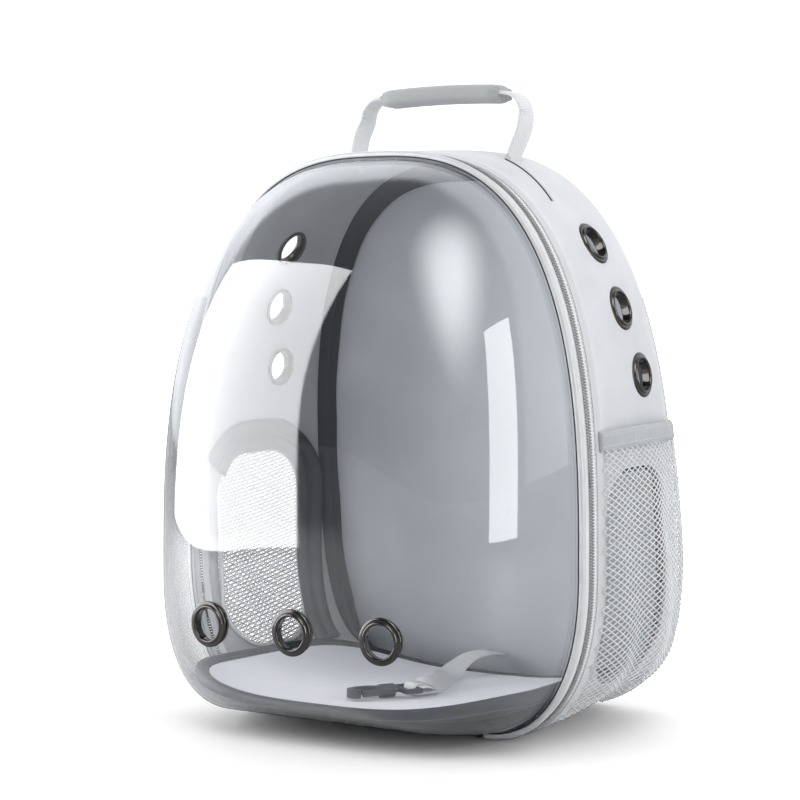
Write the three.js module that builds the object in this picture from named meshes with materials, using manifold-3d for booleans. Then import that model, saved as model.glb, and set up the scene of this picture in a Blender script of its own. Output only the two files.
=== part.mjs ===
// A pet carrier backpack: a soft arch-shaped bag whose front is a clear moulded dome, closed by a zip.
// Millimetres, +Z up. The dome faces -Y and the straps are on the +Y side. The origin is the middle of
// the base, on the floor.

import * as THREE from "three";
import { mergeVertices } from "three/addons/utils/BufferGeometryUtils.js";
import Module from "manifold-3d";

const wasm = await Module();
wasm.setup();

// Driving dimensions
const GAP = 0.3;
const BAG = { width: 343, height: 412, baseDepth: 176, topDepth: 128, ahead: 3, wall: 2.4 };
const ARCH = { widestAt: 122, flat: 182, fullness: 2.76, cornerFullness: 2.33 };
const BASE = { half: 70, thick: 7.6, front: 6.8 };
const TUCK = { from: 66, to: 152 };
const BACK = { inside: 4, outside: 3 };
const DOME = {
  bulge: 102, fullAt: 58, rimPower: 5, facePower: 1.35, wall: 1.6, out: -3.9, skirt: 6,
  rings: [0, 15, 31, 48, 64, 79],
};
const DOOR = { lift: 1.9, endX: 93 };
const PIPING = { radius: 2.6, out: -1.0, sides: 6 };
const ZIP = {
  doorTape: { front: 2.9, back: 9.0, outer: -0.4, inner: -1.6, dip: 1.6 },
  doorTeeth: { front: 9.3, back: 11.2, outer: 0.5, inner: -1.8 },
  bagTeeth: { front: 12.0, back: 13.4, outer: 0.5, inner: -1.8 },
  bagTape: { front: 13.7, back: 20.0, outer: -0.4, inner: -1.6 },
};
const SLIDER = { height: 62, front: 11.8, back: 21.0, long: 14, rise: 3.2 };
const EYELET = {
  bore: 11.2, barrel: 12.8, crown: 14, flange: 16.3, washer: 15,
  lip: 2.6, throat: 2.0, washerThick: 1, hole: 24, sides: 12,
};
const SIDE_EYELETS = {
  seat: 1.9,
  places: [{ height: 347.5, at: 0.492 }, { height: 301.5, at: 0.53 }, { height: 254, at: 0.62 }],
};
const FRONT_EYELETS = { height: 80, spacing: 73, seat: 2.8 };
const WINDOW = {
  low: 36, high: 190, from: 0.07, to: 0.82, corner: 36, spare: 14,
  mesh: 1.0, meshInset: 0.5, meshColumns: [0.05, 0.45, 0.85],
  binding: 15, bindingThick: 2, bindingFoot: 58, bindingLap: 1, bindingFrom: 0.45,
  bindingColumns: [0.0, 0.4, 0.95],
};
const POCKET = {
  low: 9, hemLow: 203, high: 216, from: 0.02, to: 0.97, thick: 1.2, hemThick: 2.2, off: 0.8, swell: 0.7,
};
const NET = { rows: 5, columns: 4, gap: 10, foot: 24, head: 12, from: 0.12, to: 0.86, reach: 9 };
const HANDLE = {
  spread: 74, topSpread: 70, footAt: 0.45, at: 0.67, thick: 2.4, width: 19, top: 458.5, bend: 16, sink: 0.35,
};
const GRIP = { length: 104, wide: 27, tall: 14, slot: 0.4 };
const MAT = {
  half: 138, front: 81, back: 71, taper: 0.05, frontPower: 3, backPower: 5, binding: 9,
  middleRing: 0.6, steps: 32,
};
const MAT_TOP = { middle: 17, side: 24, sidePower: 3, ahead: 11, aheadPower: 2 };
const MAT_UNDER = { middle: 8, side: 23.5, sidePower: 3.5, ahead: 13.6, aheadPower: 1.5 };
const LEASH = { width: 17, thick: 1.6, loop: 3.4, tail: 16, lead: 7, steps: 16 };
const HOOK = {
  x: 5, y: -58, above: 5.4, turn: -120, thick: 6, barrel: 5, bore: 2.4, boreDepth: 6, stem: 2.0,
};
const RING = { half: 7, wide: 13, bar: 3.2, stemFrom: 6, stemTo: 16 };
const EYE = { start: 11, barrelEnd: 22, middle: 33, long: 15, wide: 10, band: 4.2, nose: 55, tail: 205 };
const GATE = {
  x: 22.9, y: 4.2, thick: 2.8, deep: 4.4, clear: 3.2, drop: 0.6,
  knob: 1.6, knobRise: 2.4, knobX: 3.4, knobY: 2.2,
};
const STRAP = { thick: 9, edge: 2.7, webbing: 25, webbingThick: 1.8 };
const STRAP_SLIDER = { bar: 3.4, play: 1, half: 9, thick: 3, off: 2 };

const RIM_Y = -BAG.baseDepth / 2 - BAG.ahead;
const GUSSET_Y = RIM_Y + ZIP.bagTape.back + GAP;
const ARCH_ROWS = 40;
const HALVINGS = 40;

// How the arch swells and then turns in towards the back: at = share of the depth behind the zip,
// tuck = how far its lower corners are drawn up.
const GUSSET_SECTIONS = [
  { at: 0.0, wide: 1.0, tall: 1.0, tuck: 0 },
  { at: 0.3, wide: 1.0, tall: 1.01, tuck: 10 },
  { at: 0.65, wide: 0.985, tall: 1.014, tuck: 12 },
  { at: 0.88, wide: 0.966, tall: 1.014, tuck: 12 },
  { at: 1.0, wide: 0.925, tall: 1.002, tuck: 11 },
];

// How far a pocket stands off the wall: at = share of its height, out = at mid depth.
const POCKET_SECTIONS = [
  { at: 0.0, out: 0 },
  { at: 0.22, out: 8 },
  { at: 0.55, out: 12 },
  { at: 0.82, out: 9.5 },
  { at: 1.0, out: 6.5 },
];
const POCKET_COLUMNS = [0.02, 0.14, 0.3, 0.65, 0.88, 0.97];

// Where the leash runs, from the back panel to the tail of the hook, lying on the mat.
const LEASH_ROUTE = [
  { x: 2, y: 76, z: 30 },
  { x: 0, y: 62, z: 33 },
  { x: -6, y: 46, z: 31 },
  { x: -9, y: 30, z: 24.5 },
  { x: -6, y: 13, z: 19.4 },
  { x: 2, y: -4, z: 18.3 },
  { x: 10, y: -19, z: 19.8 },
  { x: 14, y: -32, z: 24 },
];

// The padded shoulder strap: off = clear of the back panel, x = middle of the strap.
const STRAP_SECTIONS = [
  { z: 392, off: 0.6, x: 44, width: 46 },
  { z: 372, off: 14, x: 46, width: 54 },
  { z: 330, off: 30, x: 50, width: 60 },
  { z: 270, off: 41, x: 57, width: 62 },
  { z: 210, off: 43, x: 65, width: 60 },
  { z: 160, off: 36, x: 74, width: 54 },
  { z: 128, off: 28, x: 80, width: 40 },
];
const WEBBING_SECTIONS = [
  { z: 127.7, off: 31, x: 80 },
  { z: 100, off: 24, x: 86 },
  { z: 70, off: 15, x: 93 },
  { z: 44, off: 6, x: 100 },
  { z: 30, off: 0.6, x: 103 },
];

// Finishes
function finish(color, roughness, metalness = 0) {
  return new THREE.MeshStandardMaterial({ color, roughness, metalness });
}

const LIGHT_CLOTH = finish(0xdcdde1, 0.85);
const GREY_CLOTH = finish(0x8f9096, 0.9);
const DARK_CLOTH = finish(0x47484d, 0.9);
const WHITE_NET = finish(0xeceded, 0.7);
const CLEAR_SHELL = finish(0xf2f6f8, 0.08);
CLEAR_SHELL.transparent = true;
CLEAR_SHELL.opacity = 0.25;
const PALE_PIPING = finish(0xe6e7ea, 0.45);
const ZIP_PLASTIC = finish(0x55565b, 0.5);
const GUNMETAL = finish(0x3b3b40, 0.25, 0.9);
const MAT_CLOTH = finish(0xe9e8f0, 0.95);

const carrier = new THREE.Group();

function addPiece(name, geometry, material) {
  const mesh = new THREE.Mesh(geometry, material);
  mesh.name = name;
  carrier.add(mesh);
  return mesh;
}

const vec = (x, y, z) => new THREE.Vector3(x, y, z);
const mix = (a, b, share) => a + (b - a) * share;

// A named column of a table, in straight lines between its rows.
function between(rows, column, at) {
  const next = rows.findIndex((row) => row.at >= at);
  if (next === 0) return rows[0][column];
  if (next < 0) return rows[rows.length - 1][column];
  const before = rows[next - 1];
  const share = (at - before.at) / (rows[next].at - before.at);
  return mix(before[column], rows[next][column], share);
}

// Closed meshes

// Triangles as a closed mesh with its faces pointing out.
function closedMesh(corners) {
  const volume = corners.reduce((sum, a, k) => {
    if (k % 3) return sum;
    return sum + a.dot(corners[k + 1].clone().cross(corners[k + 2]));
  }, 0);
  const ordered = volume < 0 ? corners.slice().reverse() : corners;
  const geometry = new THREE.BufferGeometry().setFromPoints(ordered);
  const merged = mergeVertices(geometry, 1e-4);
  merged.computeVertexNormals();
  return merged;
}

// A form drawn through sections that all have the same number of points, an even one. Each end is
// closed by joining the first half of its section to the second half, or the form runs round a loop.
function loft(sections, looped = false) {
  const corners = [];
  const quad = (a, b, c, d) => corners.push(a, b, c, a, c, d);
  const steps = looped ? sections.length : sections.length - 1;
  for (let i = 0; i < steps; i += 1) {
    const here = sections[i];
    const next = sections[(i + 1) % sections.length];
    for (let k = 0; k < here.length; k += 1) {
      const m = (k + 1) % here.length;
      quad(here[k], here[m], next[m], next[k]);
    }
  }
  if (!looped) {
    const first = sections[0];
    const last = sections[sections.length - 1];
    const end = first.length - 1;
    for (let k = 0; k < first.length / 2 - 1; k += 1) {
      quad(first[k + 1], first[k], first[end - k], first[end - 1 - k]);
      quad(last[k], last[k + 1], last[end - 1 - k], last[end - k]);
    }
  }
  return closedMesh(corners);
}

// A form drawn through rings that start and end in single points.
function ringStack(rings) {
  const corners = [];
  for (let i = 0; i + 1 < rings.length; i += 1) {
    const here = rings[i];
    const next = rings[i + 1];
    const count = Math.max(here.length, next.length);
    for (let k = 0; k < count; k += 1) {
      const m = (k + 1) % count;
      if (here.length === 1) corners.push(here[0], next[m], next[k]);
      else if (next.length === 1) corners.push(here[k], here[m], next[0]);
      else corners.push(here[k], here[m], next[m], here[k], next[m], next[k]);
    }
  }
  return closedMesh(corners);
}

function toSolid(geometry) {
  const bare = new THREE.BufferGeometry();
  bare.setAttribute("position", geometry.getAttribute("position"));
  bare.setIndex(geometry.getIndex());
  const merged = mergeVertices(bare, 1e-4);
  const vertProperties = new Float32Array(merged.getAttribute("position").array);
  const triVerts = new Uint32Array(merged.getIndex().array);
  return new wasm.Manifold(new wasm.Mesh({ numProp: 3, vertProperties, triVerts }));
}

function toGeometry(solid) {
  const mesh = solid.getMesh();
  const geometry = new THREE.BufferGeometry();
  geometry.setAttribute("position", new THREE.BufferAttribute(mesh.vertProperties, 3));
  geometry.setIndex(new THREE.BufferAttribute(mesh.triVerts, 1));
  geometry.computeVertexNormals();
  return geometry;
}

function cut(geometry, tools) {
  return toGeometry(tools.reduce((solid, tool) => solid.subtract(toSolid(tool)), toSolid(geometry)));
}

function join(...geometries) {
  const [first, ...others] = geometries.map(toSolid);
  return toGeometry(others.reduce((solid, other) => solid.add(other), first));
}

function keepInside(geometry, tool) {
  return toGeometry(toSolid(geometry).intersect(toSolid(tool)));
}

// The arch

// Right half of the arch seen from the front, from the middle of the top to the middle of the bottom.
function archChain() {
  const steps = 60;
  const half = BAG.width / 2;
  const flat = ARCH.flat / 2;
  const rise = BAG.height - ARCH.widestAt;
  const power = 2 / ARCH.fullness;
  const cornerPower = 2 / ARCH.cornerFullness;
  const chain = [];
  for (let k = 0; k <= steps; k += 1) {
    const angle = ((k / steps) * Math.PI) / 2;
    const up = Math.max(Math.cos(angle), 0) ** power;
    chain.push(new THREE.Vector2(half * Math.sin(angle) ** power, ARCH.widestAt + rise * up));
  }
  for (let k = 1; k <= steps; k += 1) {
    const angle = ((k / steps) * Math.PI) / 2;
    const across = flat + (half - flat) * Math.max(Math.cos(angle), 0) ** cornerPower;
    chain.push(new THREE.Vector2(across, ARCH.widestAt * (1 - Math.sin(angle) ** cornerPower)));
  }
  for (let k = 1; k <= steps; k += 1) {
    chain.push(new THREE.Vector2(flat * (1 - k / steps), 0));
  }
  return chain;
}

const ARCH_LINE = new THREE.SplineCurve(archChain());
ARCH_LINE.arcLengthDivisions = 800;

// A point of the arch and the way out from it: t = 0 at the top, 1 and -1 at the middle of the bottom.
function arch(t, wide = 1, tall = 1) {
  const side = t < 0 ? -1 : 1;
  const point = ARCH_LINE.getPointAt(Math.abs(t));
  const along = ARCH_LINE.getTangentAt(Math.abs(t));
  const out = new THREE.Vector2(-along.y * tall, along.x * wide).normalize();
  return { x: side * point.x * wide, z: point.y * tall, outX: side * out.x, outZ: out.y };
}

// The t of the right side where a test first turns true, going down from the top.
function archWhere(test) {
  let low = 0;
  let high = 1;
  for (let k = 0; k < HALVINGS; k += 1) {
    const middle = (low + high) / 2;
    if (test(arch(middle))) high = middle;
    else low = middle;
  }
  return high;
}

const depthAt = (z) => mix(BAG.baseDepth, BAG.topDepth, z / BAG.height);
const backY = (z) => RIM_Y + depthAt(z);
const FLAT_T = archWhere((p) => p.z < BAG.height / 2 && p.x <= BASE.half);
const DOOR_T = archWhere((p) => p.z < BAG.height / 2 && p.x <= DOOR.endX);
const heightT = (z) => archWhere((p) => p.z <= z);

function evenly(from, to, steps) {
  return Array.from({ length: steps + 1 }, (_, k) => mix(from, to, k / steps));
}

// The rows of an arch with rows along its bottom added, from the last one round to the first.
function closeLoop(rows) {
  const last = rows[rows.length - 1];
  const bottom = evenly(last, 2 - last, 4).slice(1, -1);
  return [...rows, ...bottom.map((t) => (t > 1 ? t - 2 : t))];
}

const GUSSET_ROWS = evenly(-FLAT_T, FLAT_T, ARCH_ROWS);
const DOOR_ROWS = evenly(-DOOR_T, DOOR_T, ARCH_ROWS);

// How much of the tuck a point of the arch takes: most in the middle of its lower corner.
function cornerShare({ x, z }) {
  const share = THREE.MathUtils.clamp((Math.abs(x) - TUCK.from) / (TUCK.to - TUCK.from), 0, 1);
  return z < ARCH.widestAt ? Math.sin(Math.PI * share) : 0;
}

// A point on the gusset: v = 0 at the zip and 1 at the back, out = off its outer face.
function wallPoint(t, v, out) {
  const wide = between(GUSSET_SECTIONS, "wide", v);
  const tall = between(GUSSET_SECTIONS, "tall", v);
  const p = arch(t, wide, tall);
  const z = p.z + cornerShare(p) * between(GUSSET_SECTIONS, "tuck", v);
  const y = mix(GUSSET_Y, backY(z), v);
  return vec(p.x + p.outX * out, y, z + p.outZ * out);
}

function wallNormal(t, v) {
  const stepT = 0.004;
  const stepV = 0.05;
  const along = wallPoint(t + stepT, v, 0).sub(wallPoint(t - stepT, v, 0));
  const back = wallPoint(t, v + stepV, 0).sub(wallPoint(t, v - stepV, 0));
  const normal = along.cross(back).normalize();
  const p = arch(t);
  return normal.dot(vec(p.outX, 0, p.outZ)) < 0 ? normal.negate() : normal;
}

// A point near the dome's rim: back = behind the rim's plane. The rim is lifted clear of the floor.
function rimPoint(t, back, out) {
  const p = arch(t);
  const low = Math.max(0, 1 - p.z / ARCH.widestAt);
  return vec(p.x + p.outX * out, RIM_Y + back, p.z + p.outZ * out + DOOR.lift * low * low);
}

// A strip of wall lying on the gusset, between two distances off its outer face.
function wallStrip(rows, columns, outer, inner) {
  const sections = rows.map((t) => {
    const top = columns.map((v) => wallPoint(t, v, outer(t, v)));
    const under = columns.map((v) => wallPoint(t, v, inner(t, v)));
    return [...top, ...under.reverse()];
  });
  return loft(sections);
}

// The rows of the gusset between two heights of one side, with both heights.
function sideRows(side, low, high) {
  const from = heightT(high);
  const to = heightT(low);
  const apart = 0.004;
  const inside = GUSSET_ROWS.filter((t) => t > from + apart && t < to - apart);
  return [from, ...inside, to].map((t) => side * t);
}

// A round tool or piece whose axis, drawn along Y, is turned to a direction.
function aim(object, position, direction) {
  const turn = new THREE.Quaternion().setFromUnitVectors(vec(0, 1, 0), direction);
  if (object.isBufferGeometry) {
    object.applyQuaternion(turn);
    object.translate(position.x, position.y, position.z);
  } else {
    object.position.copy(position);
    object.quaternion.copy(turn);
  }
  return object;
}

// The gusset with its eyelet holes and windows

function windowPrism(side, grow) {
  const low = WINDOW.low - grow;
  const high = WINDOW.high + grow;
  const front = mix(GUSSET_Y, backY(WINDOW.low), WINDOW.from) - grow;
  const back = mix(GUSSET_Y, backY(WINDOW.high), WINDOW.to) + grow;
  const r = WINDOW.corner + grow;
  const shape = new THREE.Shape();
  shape.moveTo(front + r, low);
  shape.lineTo(back - r, low);
  shape.absarc(back - r, low + r, r, -Math.PI / 2, 0);
  shape.absarc(back - r, high - r, r, 0, Math.PI / 2);
  shape.absarc(front + r, high - r, r, Math.PI / 2, Math.PI);
  shape.absarc(front + r, low + r, r, Math.PI, 1.5 * Math.PI);
  const reach = BAG.width / 2;
  const prism = new THREE.ExtrudeGeometry(shape, { depth: reach, bevelEnabled: false, curveSegments: 3 });
  const turn = new THREE.Matrix4().makeBasis(vec(0, 1, 0), vec(0, 0, 1), vec(1, 0, 0));
  prism.applyMatrix4(turn);
  prism.translate(side > 0 ? reach / 3 : (-reach * 4) / 3, 0, 0);
  return prism;
}

// The space in front of a window's middle and below the foot of its binding.
function windowFront(side) {
  const middle = mix(GUSSET_Y, backY(WINDOW.high), mix(WINDOW.from, WINDOW.to, WINDOW.bindingFrom));
  const front = new THREE.BoxGeometry(BAG.width, BAG.baseDepth, BAG.height);
  front.translate((side * BAG.width) / 2, middle - BAG.baseDepth / 2, BAG.height / 2);
  const below = new THREE.BoxGeometry(BAG.width, BAG.baseDepth * 2, WINDOW.bindingFoot);
  below.translate((side * BAG.width) / 2, 0, WINDOW.bindingFoot / 2);
  return join(front, below);
}

const SIDES = [
  { name: "left", side: -1 },
  { name: "right", side: 1 },
];

const sideEyelets = SIDES.flatMap(({ name, side }) =>
  SIDE_EYELETS.places.map(({ height, at }, k) => {
    const t = side * heightT(height / between(GUSSET_SECTIONS, "tall", at));
    return {
      name: `eyelet_${name}_${k + 1}`,
      position: wallPoint(t, at, 0),
      normal: wallNormal(t, at),
      depth: BAG.wall + SIDE_EYELETS.seat,
    };
  }),
);

function eyeletHole({ position, normal }) {
  const radius = EYELET.barrel + GAP;
  return aim(new THREE.CylinderGeometry(radius, radius, EYELET.hole, EYELET.sides), position, normal);
}

const gussetColumns = GUSSET_SECTIONS.map((row) => row.at);
const gussetWall = wallStrip(GUSSET_ROWS, gussetColumns, () => 0, () => -BAG.wall);
const gussetCuts = [...sideEyelets.map(eyeletHole), ...SIDES.map(({ side }) => windowPrism(side, 0))];
addPiece("gusset", cut(gussetWall, gussetCuts), LIGHT_CLOTH);

// The base and the back

function basePanel() {
  const section = (y, half) => [
    vec(-half, y, 0),
    vec(half, y, 0),
    vec(half, y, BASE.thick),
    vec(-half, y, BASE.thick),
  ];
  const rows = GUSSET_SECTIONS.map((row) => {
    const y = mix(GUSSET_Y, backY(0), row.at);
    return section(y, BASE.half * row.wide - GAP);
  });
  const flap = [RIM_Y + BASE.front, GUSSET_Y - GAP].map((y) => section(y, ARCH.flat / 2 - GAP));
  return loft([...flap, ...rows]);
}

function backPanel() {
  const rows = closeLoop(GUSSET_ROWS.filter((_, k) => k % 2 === 0));
  const outline = rows.map((t) => wallPoint(t, 1, -BAG.wall - GAP));
  const ring = (off) =>
    outline.map((p) => {
      const z = Math.max(p.z, BASE.thick + GAP);
      return vec(p.x, backY(z) + off, z);
    });
  const middle = (off) => [vec(0, backY(BAG.height / 2) + off, BAG.height / 2)];
  return ringStack([middle(-BACK.inside), ring(-BACK.inside), ring(BACK.outside), middle(BACK.outside)]);
}

addPiece("base_panel", basePanel(), DARK_CLOTH);
addPiece("back_panel", backPanel(), GREY_CLOTH);

// The windows, their bindings and the net pockets of each side

function windowMesh(side) {
  const rows = sideRows(side, WINDOW.low - WINDOW.spare, WINDOW.high + WINDOW.spare);
  const outer = -WINDOW.meshInset;
  const sheet = wallStrip(rows, WINDOW.meshColumns, () => outer, () => outer - WINDOW.mesh);
  return keepInside(sheet, windowPrism(side, -GAP));
}

function windowBinding(side) {
  const rows = sideRows(side, WINDOW.low - WINDOW.spare, WINDOW.high + WINDOW.binding + WINDOW.spare);
  const outer = -BAG.wall - GAP;
  const sheet = wallStrip(rows, WINDOW.bindingColumns, () => outer, () => outer - WINDOW.bindingThick);
  const frame = keepInside(sheet, windowPrism(side, WINDOW.binding));
  return cut(frame, [windowPrism(side, -WINDOW.bindingLap), windowFront(side)]);
}

function pocketOff(t, v) {
  const share = (arch(t).z - POCKET.low) / (POCKET.high - POCKET.low);
  const across = (v - POCKET.from) / (POCKET.to - POCKET.from);
  const swell = Math.max(0, Math.sin(Math.PI * across)) ** POCKET.swell;
  return POCKET.off + between(POCKET_SECTIONS, "out", share) * swell;
}

// Diamond-shaped holes through the net, set in staggered rows.
function netGaps(side) {
  const tools = [];
  for (let row = 0; row < NET.rows; row += 1) {
    const height = mix(POCKET.low + NET.foot, POCKET.hemLow - NET.head, row / (NET.rows - 1));
    const t = side * heightT(height);
    const stagger = row % 2 ? 0.75 : 0.25;
    for (let column = 0; column < NET.columns; column += 1) {
      const v = mix(NET.from, NET.to, (column + stagger) / NET.columns);
      const position = wallPoint(t, v, pocketOff(t, v));
      const tool = new THREE.CylinderGeometry(NET.gap, NET.gap, NET.reach, 4);
      tools.push(aim(tool, position, wallNormal(t, v)));
    }
  }
  return tools;
}

function pocketNet(side) {
  const rows = sideRows(side, POCKET.low, POCKET.hemLow - GAP);
  const sheet = wallStrip(rows, POCKET_COLUMNS, (t, v) => pocketOff(t, v) + POCKET.thick, pocketOff);
  return cut(sheet, netGaps(side));
}

function pocketHem(side) {
  const rows = sideRows(side, POCKET.hemLow, POCKET.high);
  return wallStrip(rows, POCKET_COLUMNS, (t, v) => pocketOff(t, v) + POCKET.hemThick, pocketOff);
}

for (const { name, side } of SIDES) {
  addPiece(`window_mesh_${name}`, windowMesh(side), WHITE_NET);
  addPiece(`window_binding_${name}`, windowBinding(side), DARK_CLOTH);
  addPiece(`pocket_net_${name}`, pocketNet(side), WHITE_NET);
  addPiece(`pocket_hem_${name}`, pocketHem(side), GREY_CLOTH);
}

// The zip

// A band round the rim, lower at its front edge by its dip.
function rimBand({ front, back, outer, inner, dip = 0 }) {
  const sections = DOOR_ROWS.map((t) => [
    rimPoint(t, front, outer - dip),
    rimPoint(t, back, outer),
    rimPoint(t, back, inner),
    rimPoint(t, front, inner - dip),
  ]);
  return loft(sections);
}

addPiece("zip_tape_door", rimBand(ZIP.doorTape), LIGHT_CLOTH);
addPiece("zip_teeth_door", rimBand(ZIP.doorTeeth), ZIP_PLASTIC);
addPiece("zip_teeth_bag", rimBand(ZIP.bagTeeth), ZIP_PLASTIC);
addPiece("zip_tape_bag", rimBand(ZIP.bagTape), LIGHT_CLOTH);

function zipSlider() {
  const low = ZIP.bagTeeth.outer + GAP;
  const rows = [SLIDER.height + SLIDER.long, SLIDER.height].map((z) => -heightT(z));
  const sections = rows.map((t) => [
    rimPoint(t, SLIDER.front, low + SLIDER.rise),
    rimPoint(t, SLIDER.back, low + SLIDER.rise),
    rimPoint(t, SLIDER.back, low),
    rimPoint(t, SLIDER.front, low),
  ]);
  return loft(sections);
}

addPiece("zip_slider", zipSlider(), GUNMETAL);

// The dome, its piping and its eyelets

const domeLoop = closeLoop(DOOR_ROWS);

// A point of the dome: angle = 0 at the rim and a quarter turn at the middle, inset = into the wall.
function domePoint(t, angle, inset) {
  const share = Math.max(Math.cos(angle), 0) ** (2 / DOME.rimPower);
  const rise = Math.sin(angle) ** (2 / DOME.facePower);
  const rim = rimPoint(t, 0, DOME.out - inset);
  return vec(rim.x * share, RIM_Y - (DOME.bulge - inset) * rise, mix(DOME.fullAt, rim.z, share));
}

function domeShell() {
  const angles = DOME.rings.map(THREE.MathUtils.degToRad);
  const rings = (inset) => angles.map((angle) => domeLoop.map((t) => domePoint(t, angle, inset)));
  const skirt = (inset) => domeLoop.map((t) => rimPoint(t, DOME.skirt, DOME.out - inset));
  const pole = (inset) => [vec(0, RIM_Y - DOME.bulge + inset, DOME.fullAt)];
  const outside = rings(0).reverse();
  return ringStack([
    pole(0),
    ...outside,
    skirt(0),
    skirt(DOME.wall),
    ...rings(DOME.wall),
    pole(DOME.wall),
  ]);
}

// The dome's outer face at a height near its fullest one, and the way out from it.
function domeFace(x, z) {
  const faceY = (px, pz) => {
    let low = 0;
    let high = 1;
    for (let k = 0; k < HALVINGS; k += 1) {
      const share = (low + high) / 2;
      const rimZ = DOME.fullAt + (pz - DOME.fullAt) / share;
      const rimX = Math.abs(px) / share;
      const edge = rimZ <= 0 || rimZ >= BAG.height ? 0 : rimPoint(heightT(rimZ), 0, DOME.out).x;
      if (rimX > edge) low = share;
      else high = share;
    }
    return RIM_Y - DOME.bulge * (1 - high ** DOME.rimPower) ** (1 / DOME.facePower);
  };
  const step = 6;
  const slopeX = (faceY(x + step, z) - faceY(x - step, z)) / (2 * step);
  const slopeZ = (faceY(x, z + step) - faceY(x, z - step)) / (2 * step);
  return { position: vec(x, faceY(x, z), z), normal: vec(slopeX, -1, slopeZ).normalize() };
}

const frontEyelets = [-1, 0, 1].map((place, k) => ({
  name: `eyelet_front_${k + 1}`,
  ...domeFace(place * FRONT_EYELETS.spacing, FRONT_EYELETS.height),
  depth: DOME.wall + FRONT_EYELETS.seat,
}));

addPiece("dome", cut(domeShell(), frontEyelets.map(eyeletHole)), CLEAR_SHELL);

function piping() {
  const sections = DOOR_ROWS.map((t) =>
    Array.from({ length: PIPING.sides }, (_, k) => {
      const angle = ((k + 0.5) / PIPING.sides) * 2 * Math.PI;
      const back = PIPING.radius * Math.cos(angle);
      return rimPoint(t, back, PIPING.out + PIPING.radius * Math.sin(angle));
    }),
  );
  return loft(sections);
}

addPiece("dome_piping", piping(), PALE_PIPING);

// An eyelet: a ring outside the wall, a barrel through it and a washer inside, in one piece.
function eyeletRing(depth) {
  const inside = -depth;
  const end = inside - EYELET.washerThick;
  const profile = [
    [EYELET.bore, end],
    [EYELET.washer, end],
    [EYELET.washer, inside],
    [EYELET.barrel, inside],
    [EYELET.barrel, GAP],
    [EYELET.flange, GAP],
    [EYELET.crown, EYELET.lip],
    [EYELET.bore, EYELET.throat],
    [EYELET.bore, end],
  ].map(([r, z]) => new THREE.Vector2(r, z));
  const lathe = new THREE.LatheGeometry(profile, EYELET.sides);
  lathe.deleteAttribute("normal");
  lathe.deleteAttribute("uv");
  return mergeVertices(lathe, 1e-4);
}

for (const eyelet of [...sideEyelets, ...frontEyelets]) {
  aim(addPiece(eyelet.name, eyeletRing(eyelet.depth), GUNMETAL), eyelet.position, eyelet.normal);
}

// The mat: a pad whose edges climb the rounded corners of the bag and the floor of the dome

function matPoint(angle, inset, share = 1) {
  const cos = Math.cos(angle);
  const sin = Math.sin(angle);
  const power = 2 / (sin < 0 ? MAT.frontPower : MAT.backPower);
  const reach = (sin < 0 ? MAT.front : MAT.back - RIM_Y) - inset;
  const y = share * Math.sign(sin) * Math.abs(sin) ** power * reach;
  const taper = 1 - MAT.taper * Math.max(0, y / (MAT.back - RIM_Y));
  const x = share * Math.sign(cos) * Math.abs(cos) ** power * (MAT.half - inset) * taper;
  const side = Math.abs(x) / (MAT.half * taper);
  return { x, y: RIM_Y + y, side, ahead: Math.max(0, -y) / MAT.front };
}

function matHeight(rise, { side, ahead }) {
  return rise.middle + rise.side * side ** rise.sidePower + rise.ahead * ahead ** rise.aheadPower;
}

const matBottom = (place) => matHeight(MAT_UNDER, place);
const matTop = (place) => matHeight(MAT_TOP, place);
const matAngles = evenly(0, 2 * Math.PI, MAT.steps).slice(0, -1);

function floorMat() {
  const inset = MAT.binding + GAP;
  const ring = (share, height) =>
    matAngles.map((angle) => {
      const p = matPoint(angle, inset, share);
      return vec(p.x, p.y, height(p));
    });
  const middle = matPoint(0, 0, 0);
  return ringStack([
    [vec(middle.x, middle.y, matTop(middle))],
    ring(MAT.middleRing, matTop),
    ring(1, matTop),
    ring(1, matBottom),
    ring(MAT.middleRing, matBottom),
    [vec(middle.x, middle.y, matBottom(middle))],
  ]);
}

function matBinding() {
  const sections = matAngles.map((angle) => {
    const outer = matPoint(angle, 0);
    const inner = matPoint(angle, MAT.binding);
    return [
      vec(outer.x, outer.y, matBottom(outer)),
      vec(outer.x, outer.y, matTop(outer)),
      vec(inner.x, inner.y, matTop(inner)),
      vec(inner.x, inner.y, matBottom(inner)),
    ];
  });
  return loft(sections, true);
}

addPiece("floor_mat", floorMat(), MAT_CLOTH);
addPiece("mat_binding", matBinding(), DARK_CLOTH);

// The leash and its snap hook, lying on the mat

const hook = new THREE.Group();
hook.position.set(HOOK.x, HOOK.y, MAT_TOP.middle + HOOK.above);
hook.rotation.z = THREE.MathUtils.degToRad(HOOK.turn);
hook.updateMatrixWorld();
carrier.add(hook);

function addHookPiece(name, geometry) {
  const mesh = new THREE.Mesh(geometry, GUNMETAL);
  mesh.name = name;
  hook.add(mesh);
}

const hookPoint = (x, y, z) => vec(x, y, z).applyMatrix4(hook.matrixWorld);

// A flat strap through a list of points; across = the direction of its width at each one.
function ribbon(points, across, width, thick) {
  const sections = points.map((point, k) => {
    const before = points[Math.max(k - 1, 0)];
    const after = points[Math.min(k + 1, points.length - 1)];
    const along = after.clone().sub(before).normalize();
    const side = across(along, k).normalize().multiplyScalar(width / 2);
    const up = side.clone().cross(along).normalize().multiplyScalar(thick / 2);
    const corner = (a, b) => point.clone().addScaledVector(side, a).addScaledVector(up, b);
    return [corner(-1, -1), corner(1, -1), corner(1, 1), corner(-1, 1)];
  });
  return loft(sections);
}

const ringBarX = -RING.half + RING.bar / 2;

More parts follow.
